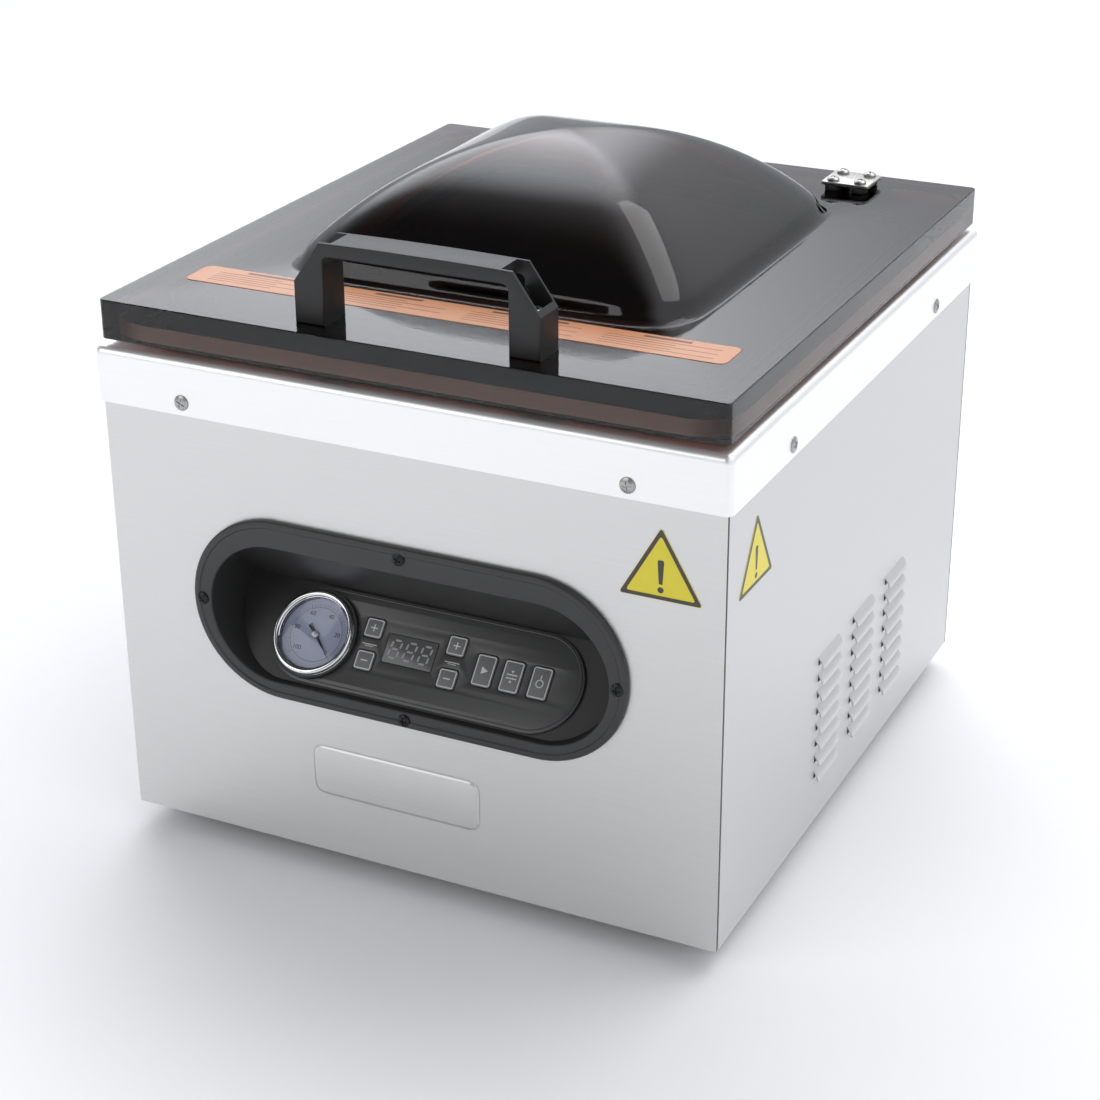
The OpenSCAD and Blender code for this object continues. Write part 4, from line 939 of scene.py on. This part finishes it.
# ---- Hinges -----------------------------------------------------------------------------
# Two stainless hinges. Each leaf is folded from 2 mm strip; the lid is clamped between the upper
# leaf and a plate on four rubber washers, with four pan screws through all of it.
# 304 stainless, folded and tumbled: warm grey with an even soft shine.
hinge_steel = surface("tumbled_stainless", "#c8c6c0", "#aeaca6", (1.2, 1.2, 1.2), (0.25, 0.38), 0.01,
                      Metallic=1.0)
dress(hinge_steel, "hinge_lower_leaves", "hinge_upper_leaves")
low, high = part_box("hinge_clamp_plates")
middle_y = (low.y + high.y) / 2
hinge_x = high.x - 0.0135
clamps = [(skin(turned(0.027, high.y - low.y, 0.0015, soft_edge(low.z, high.z, 0.0004), x, middle_y)),
           hinge_steel) for x in (-hinge_x, hinge_x)]
clamp_plates = solid("hinge_clamps_folded", clamps)
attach(clamp_plates, "lid")
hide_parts("hinge_clamp_plates")
screws_at = [(x + dx, middle_y + dy) for x in (-hinge_x, hinge_x) for dx in (-0.0077, 0.0077)
             for dy in (-0.008, 0.008)]
clamp_top = high.z
low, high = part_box("hinge_washers")
discs = [(skin(turned(0.009, 0.009, 0.0045, soft_edge(low.z + 0.00002, high.z - 0.00002, 0.0009), x, y)),
          rubber) for x, y in screws_at]
washers = solid("hinge_washers_moulded", discs)
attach(washers, "lid")
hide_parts("hinge_washers")
lid_screws = grow("hinge_pan_screws", spots([((x, y, clamp_top), (0, 0, 1)) for x, y in screws_at]),
                  cross_head, {"Head Radius": 0.0034, "Head Height": 0.0024, "Crown": 0.0013,
                               "Slot Width": 0.0008, "Seed": 5, "Finish": screw_steel})
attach(lid_screws, "lid")
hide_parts("hinge_lid_screws")
leaf_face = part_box("deck")[1].y + 0.0018
leaf_screws = grow("leaf_pan_screws", spots([((x + dx, leaf_face, 0.244), (0, 1, 0))
                                             for x in (-hinge_x, hinge_x) for dx in (-0.008, 0.008)]),
                   cross_head, {"Head Radius": 0.0031, "Head Height": 0.0019, "Crown": 0.0011,
                                "Slot Width": 0.0008, "Seed": 8, "Finish": screw_steel})
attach(leaf_screws, "casing")
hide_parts("hinge_leaf_screws")


# ---- Lid --------------------------------------------------------------------------------
# Cast acrylic 20 mm thick, smoked brown, with a dome blown upwards over the chamber. Its edges
# are sawn and flame-polished. The thick flat part is nearly black and the thin crown glows brown.
# Acrylic (PMMA), cast and flame-polished: glossy. Its dye takes up light with every mm inside.
acrylic = surface("smoked_cast_acrylic", "#ffffff", "#fbfbfb", (30, 30, 30), (0.02, 0.05), 0.0, IOR=1.49,
                  Transmission_Weight=1.0)
tree = acrylic.node_tree
smoke = add(tree, "ShaderNodeVolumeAbsorption", None, {"Color": (0.58, 0.42, 0.34, 1), "Density": 300.0})
tree.links.new(smoke.outputs[0], tree.nodes["Material Output"].inputs["Volume"])
low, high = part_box("lid_plate")
lid_w, lid_d = high.x - low.x, high.y - low.y
lid_y = (low.y + high.y) / 2
lid_low, lid_top = low.z, high.z
dome_low, dome_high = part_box("lid_dome")
dome_half = ((dome_high.x - dome_low.x) / 2 + 0.002, (dome_high.y - dome_low.y) / 2 + 0.001)
dome_y = (dome_low.y + dome_high.y) / 2
around = 20
square = 8.5


def crown(share):
    """The dome's rise, from 0 at its foot to 1, with a fillet where it leaves the sheet."""
    blend = min(1.0, (1 - share) / 0.07)
    return (1 - share ** 2.05) ** 0.893 * blend * blend * (3 - 2 * blend)


def fine_outline(w, d, r, y=0.0):
    """An outline whose straight sides are cut into twelve, so that a skin over it stays smooth."""
    rim = outline(w, d, r, 0, y, steps=around)
    points = []
    for i, p in enumerate(rim):
        points.append(p)
        if (i + 1) % (around + 1) == 0:
            q = rim[(i + 1) % len(rim)]
            points += [(p[0] + (q[0] - p[0]) * t / 12, p[1] + (q[1] - p[1]) * t / 12) for t in range(1, 12)]
    return points


def dome_rings(half, base, rise):
    """Rings from the foot to near the top, on a plan that is nearly a rectangle."""
    rim = fine_outline(2 * half[0], 2 * half[1], 0.030)
    shares = [1 - 0.07 * i / 8 for i in range(9)] + [0.93 - 0.93 * i / 26 for i in range(1, 26)]
    rings = []
    for share in shares + [0.012]:
        ring = []
        for x, y in rim:
            u, v = x / half[0], y / half[1]
            norm = (abs(u) ** square + abs(v) ** square) ** (1 / square)
            ring.append((x / norm * share, dome_y + y / norm * share, base + rise * crown(share)))
        rings.append(ring)
    return rings


def plate_ring(grow_by, z):
    """The sheet's own outline with as many points as a ring of the dome."""
    return [(x, y, z) for x, y in fine_outline(lid_w + 2 * grow_by, lid_d + 2 * grow_by, 0.003 + grow_by,
                                               lid_y)]


outside = dome_rings(dome_half, lid_top, dome_high.z - lid_top)
hollow = (dome_half[0] - 0.008, dome_half[1] - 0.008)
inside = dome_rings(hollow, lid_low, dome_high.z - 0.0070 - lid_low)
arris = 0.0004
rim = [plate_ring(-arris, lid_low), plate_ring(0, lid_low + arris),
       plate_ring(0, lid_top - arris), plate_ring(-arris, lid_top)]
lid_mesh = skin(inside[::-1] + rim + outside)
lid = solid("lid_smoked_acrylic", [(lid_mesh, acrylic)], sharp=30)
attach(lid, "lid")
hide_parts("lid_plate", "lid_dome")

# ---- Gasket and counter bar -------------------------------------------------------------
# An extruded silicone gasket is pressed into a channel routed round the lid's underside, which
# shows through the lid's edge. A silicone pad on a black carrier meets the seal bar.
# Silicone rubber, extruded: warm grey and matt.
gasket_grey = surface("extruded_gasket", "#8b8280", "#7d7573", (1, 1, 1), (0.5, 0.62), 0.02, IOR=1.41)
low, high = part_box("lid_gasket")
w, d = high.x - low.x, high.y - low.y
lip = 0.0012
section = [(-0.005, high.z), (-0.005, low.z + lip), (-0.005 + lip, low.z), (-lip, low.z), (0, low.z + lip),
           (0, high.z)]
gasket = solid("lid_gasket_extruded", [(skin(turned(w, d, 0.030, section, y=(low.y + high.y) / 2, steps=12),
                                             wrap=True), gasket_grey)])
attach(gasket, "lid")
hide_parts("lid_gasket")
# the channel's wall, seen through the lid's edge as a paler band
# Acrylic, left as the router cut it: frosted and pale, cutter marks 0.8 mm apart.
routed_acrylic = surface("sawn_channel_wall", "#d2cac7", "#bfb6b3", (30, 30, 0.8), (0.6, 0.7), 0.02, IOR=1.41)
channel_in = 0.004
wall = 0.0006
channel_low, channel_top = lid_low + 0.0010, lid_low + 0.0090
channel = [(-wall, channel_top), (-wall, channel_low), (0, channel_low), (0, channel_top)]
liner = solid("gasket_channel_liner", [(skin(turned(lid_w - 2 * channel_in, lid_d - 2 * channel_in, 0.020,
                                                    channel, y=lid_y, steps=12), wrap=True),
                                        routed_acrylic)])
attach(liner, "lid")
low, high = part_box("counter_bar")
w, mid = high.x - low.x, (low.y + high.y) / 2
pad = skin(turned(w - 0.006, 0.011, 0.001, soft_edge(low.z, high.z - 0.002, 0.0008), y=mid))
carrier = skin(turned(w, 0.016, 0.001, soft_edge(high.z - 0.0025, high.z - 0.00005, 0.0004), y=mid))
counter = solid("counter_bar_pad", [(pad, gasket_grey), (carrier, abs_black)])
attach(counter, "lid")
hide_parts("counter_bar")

# ---- Lid label --------------------------------------------------------------------------
# A printed polyester strip along the front of the lid, orange with a dark heading bar and rows of
# fine rules where the wording would be.
# Polyester film, screen-printed: even orange with a soft gloss.
label_orange = surface("orange_polyester", "#cf8f63", "#c6865b", (8, 8, 8), (0.3, 0.42), 0.0, IOR=1.5)
# Screen-printed ink on the film: dark brown and matt.
label_ink = surface("label_ink", "#6b4632", "#5e3c2a", (1, 1, 1), (0.35, 0.45), 0.0, IOR=1.5)
low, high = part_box("lid_label")
strip = skin(turned(high.x - low.x, high.y - low.y, 0.004, [(0, low.z + 0.00004), (0, high.z - 0.0001),
                                                            (-0.0001, high.z)],
                    y=(low.y + high.y) / 2))
rows = []
mid = (low.y + high.y) / 2
for left, heading in ((-0.136, 0.030), (-0.0655, 0.026), (0.005, 0.040), (0.0755, 0.024)):
    rows.append(bar(left + 0.0325, mid + 0.0082, heading, 0.0022))
    for line in range(5):
        length = 0.058 - 0.011 * ((line * 2 + int(heading * 1000)) % 4)
        rows.append(bar(left + 0.003 + length / 2, mid + 0.0045 - 0.0028 * line, length, 0.0004))
inked = cut_sheet(rows, high.z - 0.0001, high.z + 0.00004)
label = solid("lid_label_printed", [(strip, label_orange), (inked, label_ink)])
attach(label, "lid")
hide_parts("lid_label")

# ---- Handle -----------------------------------------------------------------------------
# A bridge handle moulded in glass-filled nylon, with a pocket at each end for the cap screw that
# holds it. Matt spark-eroded surface.
# Glass-filled nylon, moulded in a spark-eroded tool: black and matt, pits drawn at 0.5 mm.
nylon = surface("moulded_nylon", "#202020", "#171717", (0.5, 0.5, 0.5), (0.42, 0.56), 0.03, IOR=1.53)
low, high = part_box("lid_handle")
handle_x, handle_y = (low.x + high.x) / 2, (low.y + high.y) / 2
w, h, depth = high.x - low.x, high.z - low.z, high.y - low.y
leg, slope, top_bar = 0.016, (0.014, 0.020), 0.0065
corner = 0.003
arch = [(-w / 2, 0), (-w / 2 + leg, 0)]
for cx, start in ((-w / 2 + leg + corner, 180), (w / 2 - leg - corner, 90)):
    for i in range(7):
        a = math.radians(start - 15 * i)
        arch.append((cx + corner * math.cos(a), h - top_bar - corner + corner * math.sin(a)))
arch += [(w / 2 - leg, 0), (w / 2, 0), (w / 2, h - slope[1]), (w / 2 - slope[0], h)]
for i in range(1, 12):
    x = w / 2 - slope[0] - (w - 2 * slope[0]) * i / 12
    arch.append((x, h + 0.0006 * (1 - (2 * x / (w - 2 * slope[0])) ** 2)))
arch += [(-w / 2 + slope[0], h), (-w / 2, h - slope[1])]
stand = Matrix(((1, 0, 0, handle_x), (0, 0, -1, handle_y), (0, 1, 0, low.z), (0, 0, 0, 1)))
handle = solid("lid_handle_moulded", [(cut_sheet([arch], -depth / 2, depth / 2, 0.0009), nylon)], stand)
wall = 0.002
pocket_floor = 0.017
hole = [(w / 2 - leg + wall, pocket_floor), (w / 2 - wall, pocket_floor), (w / 2 - wall, 0.06),
        (w / 2 - leg + wall - 0.006, 0.06), (w / 2 - leg + wall - 0.006, h - 0.008),
        (w / 2 - leg + wall, h - 0.014)]
for side in (-1, 1):
    pocket = solid("pocket", [(cut_sheet([[(side * x, z) for x, z in hole]], wall - depth / 2,
                                         depth / 2 - wall, 0.0004), nylon)], stand)
    cut = handle.modifiers.new("pocket", "BOOLEAN")
    cut.object = pocket
    cut.solver = "EXACT"
    bpy.context.view_layer.update()
    done = bpy.data.meshes.new_from_object(handle.evaluated_get(bpy.context.evaluated_depsgraph_get()))
    handle.modifiers.remove(cut)
    handle.data = done
    bpy.data.objects.remove(pocket)
handle.data.set_sharp_from_angle(angle=math.radians(30))
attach(handle, "lid")
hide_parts("lid_handle")

socket_r = 0.0023
cap = soft_edge(0.0, 0.0046, 0.0005)
caps = []
for x in (handle_x - 0.056, handle_x + 0.056):
    rings = turned(0.0085, 0.0085, 0.00425, cap, x, handle_y)
    for r, z in ((socket_r + 0.0002, 0.0046), (socket_r, 0.0044), (socket_r, 0.0024)):
        rings.append([(px, py, z) for px, py in outline(2 * r, 2 * r, r, x, handle_y)])
    rings = [[(px, py, pz + low.z + pocket_floor) for px, py, pz in ring] for ring in rings]
    caps.append((skin(rings), screw_steel))
cap_screws = solid("handle_cap_screws", caps)
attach(cap_screws, "lid")
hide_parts("handle_screws")
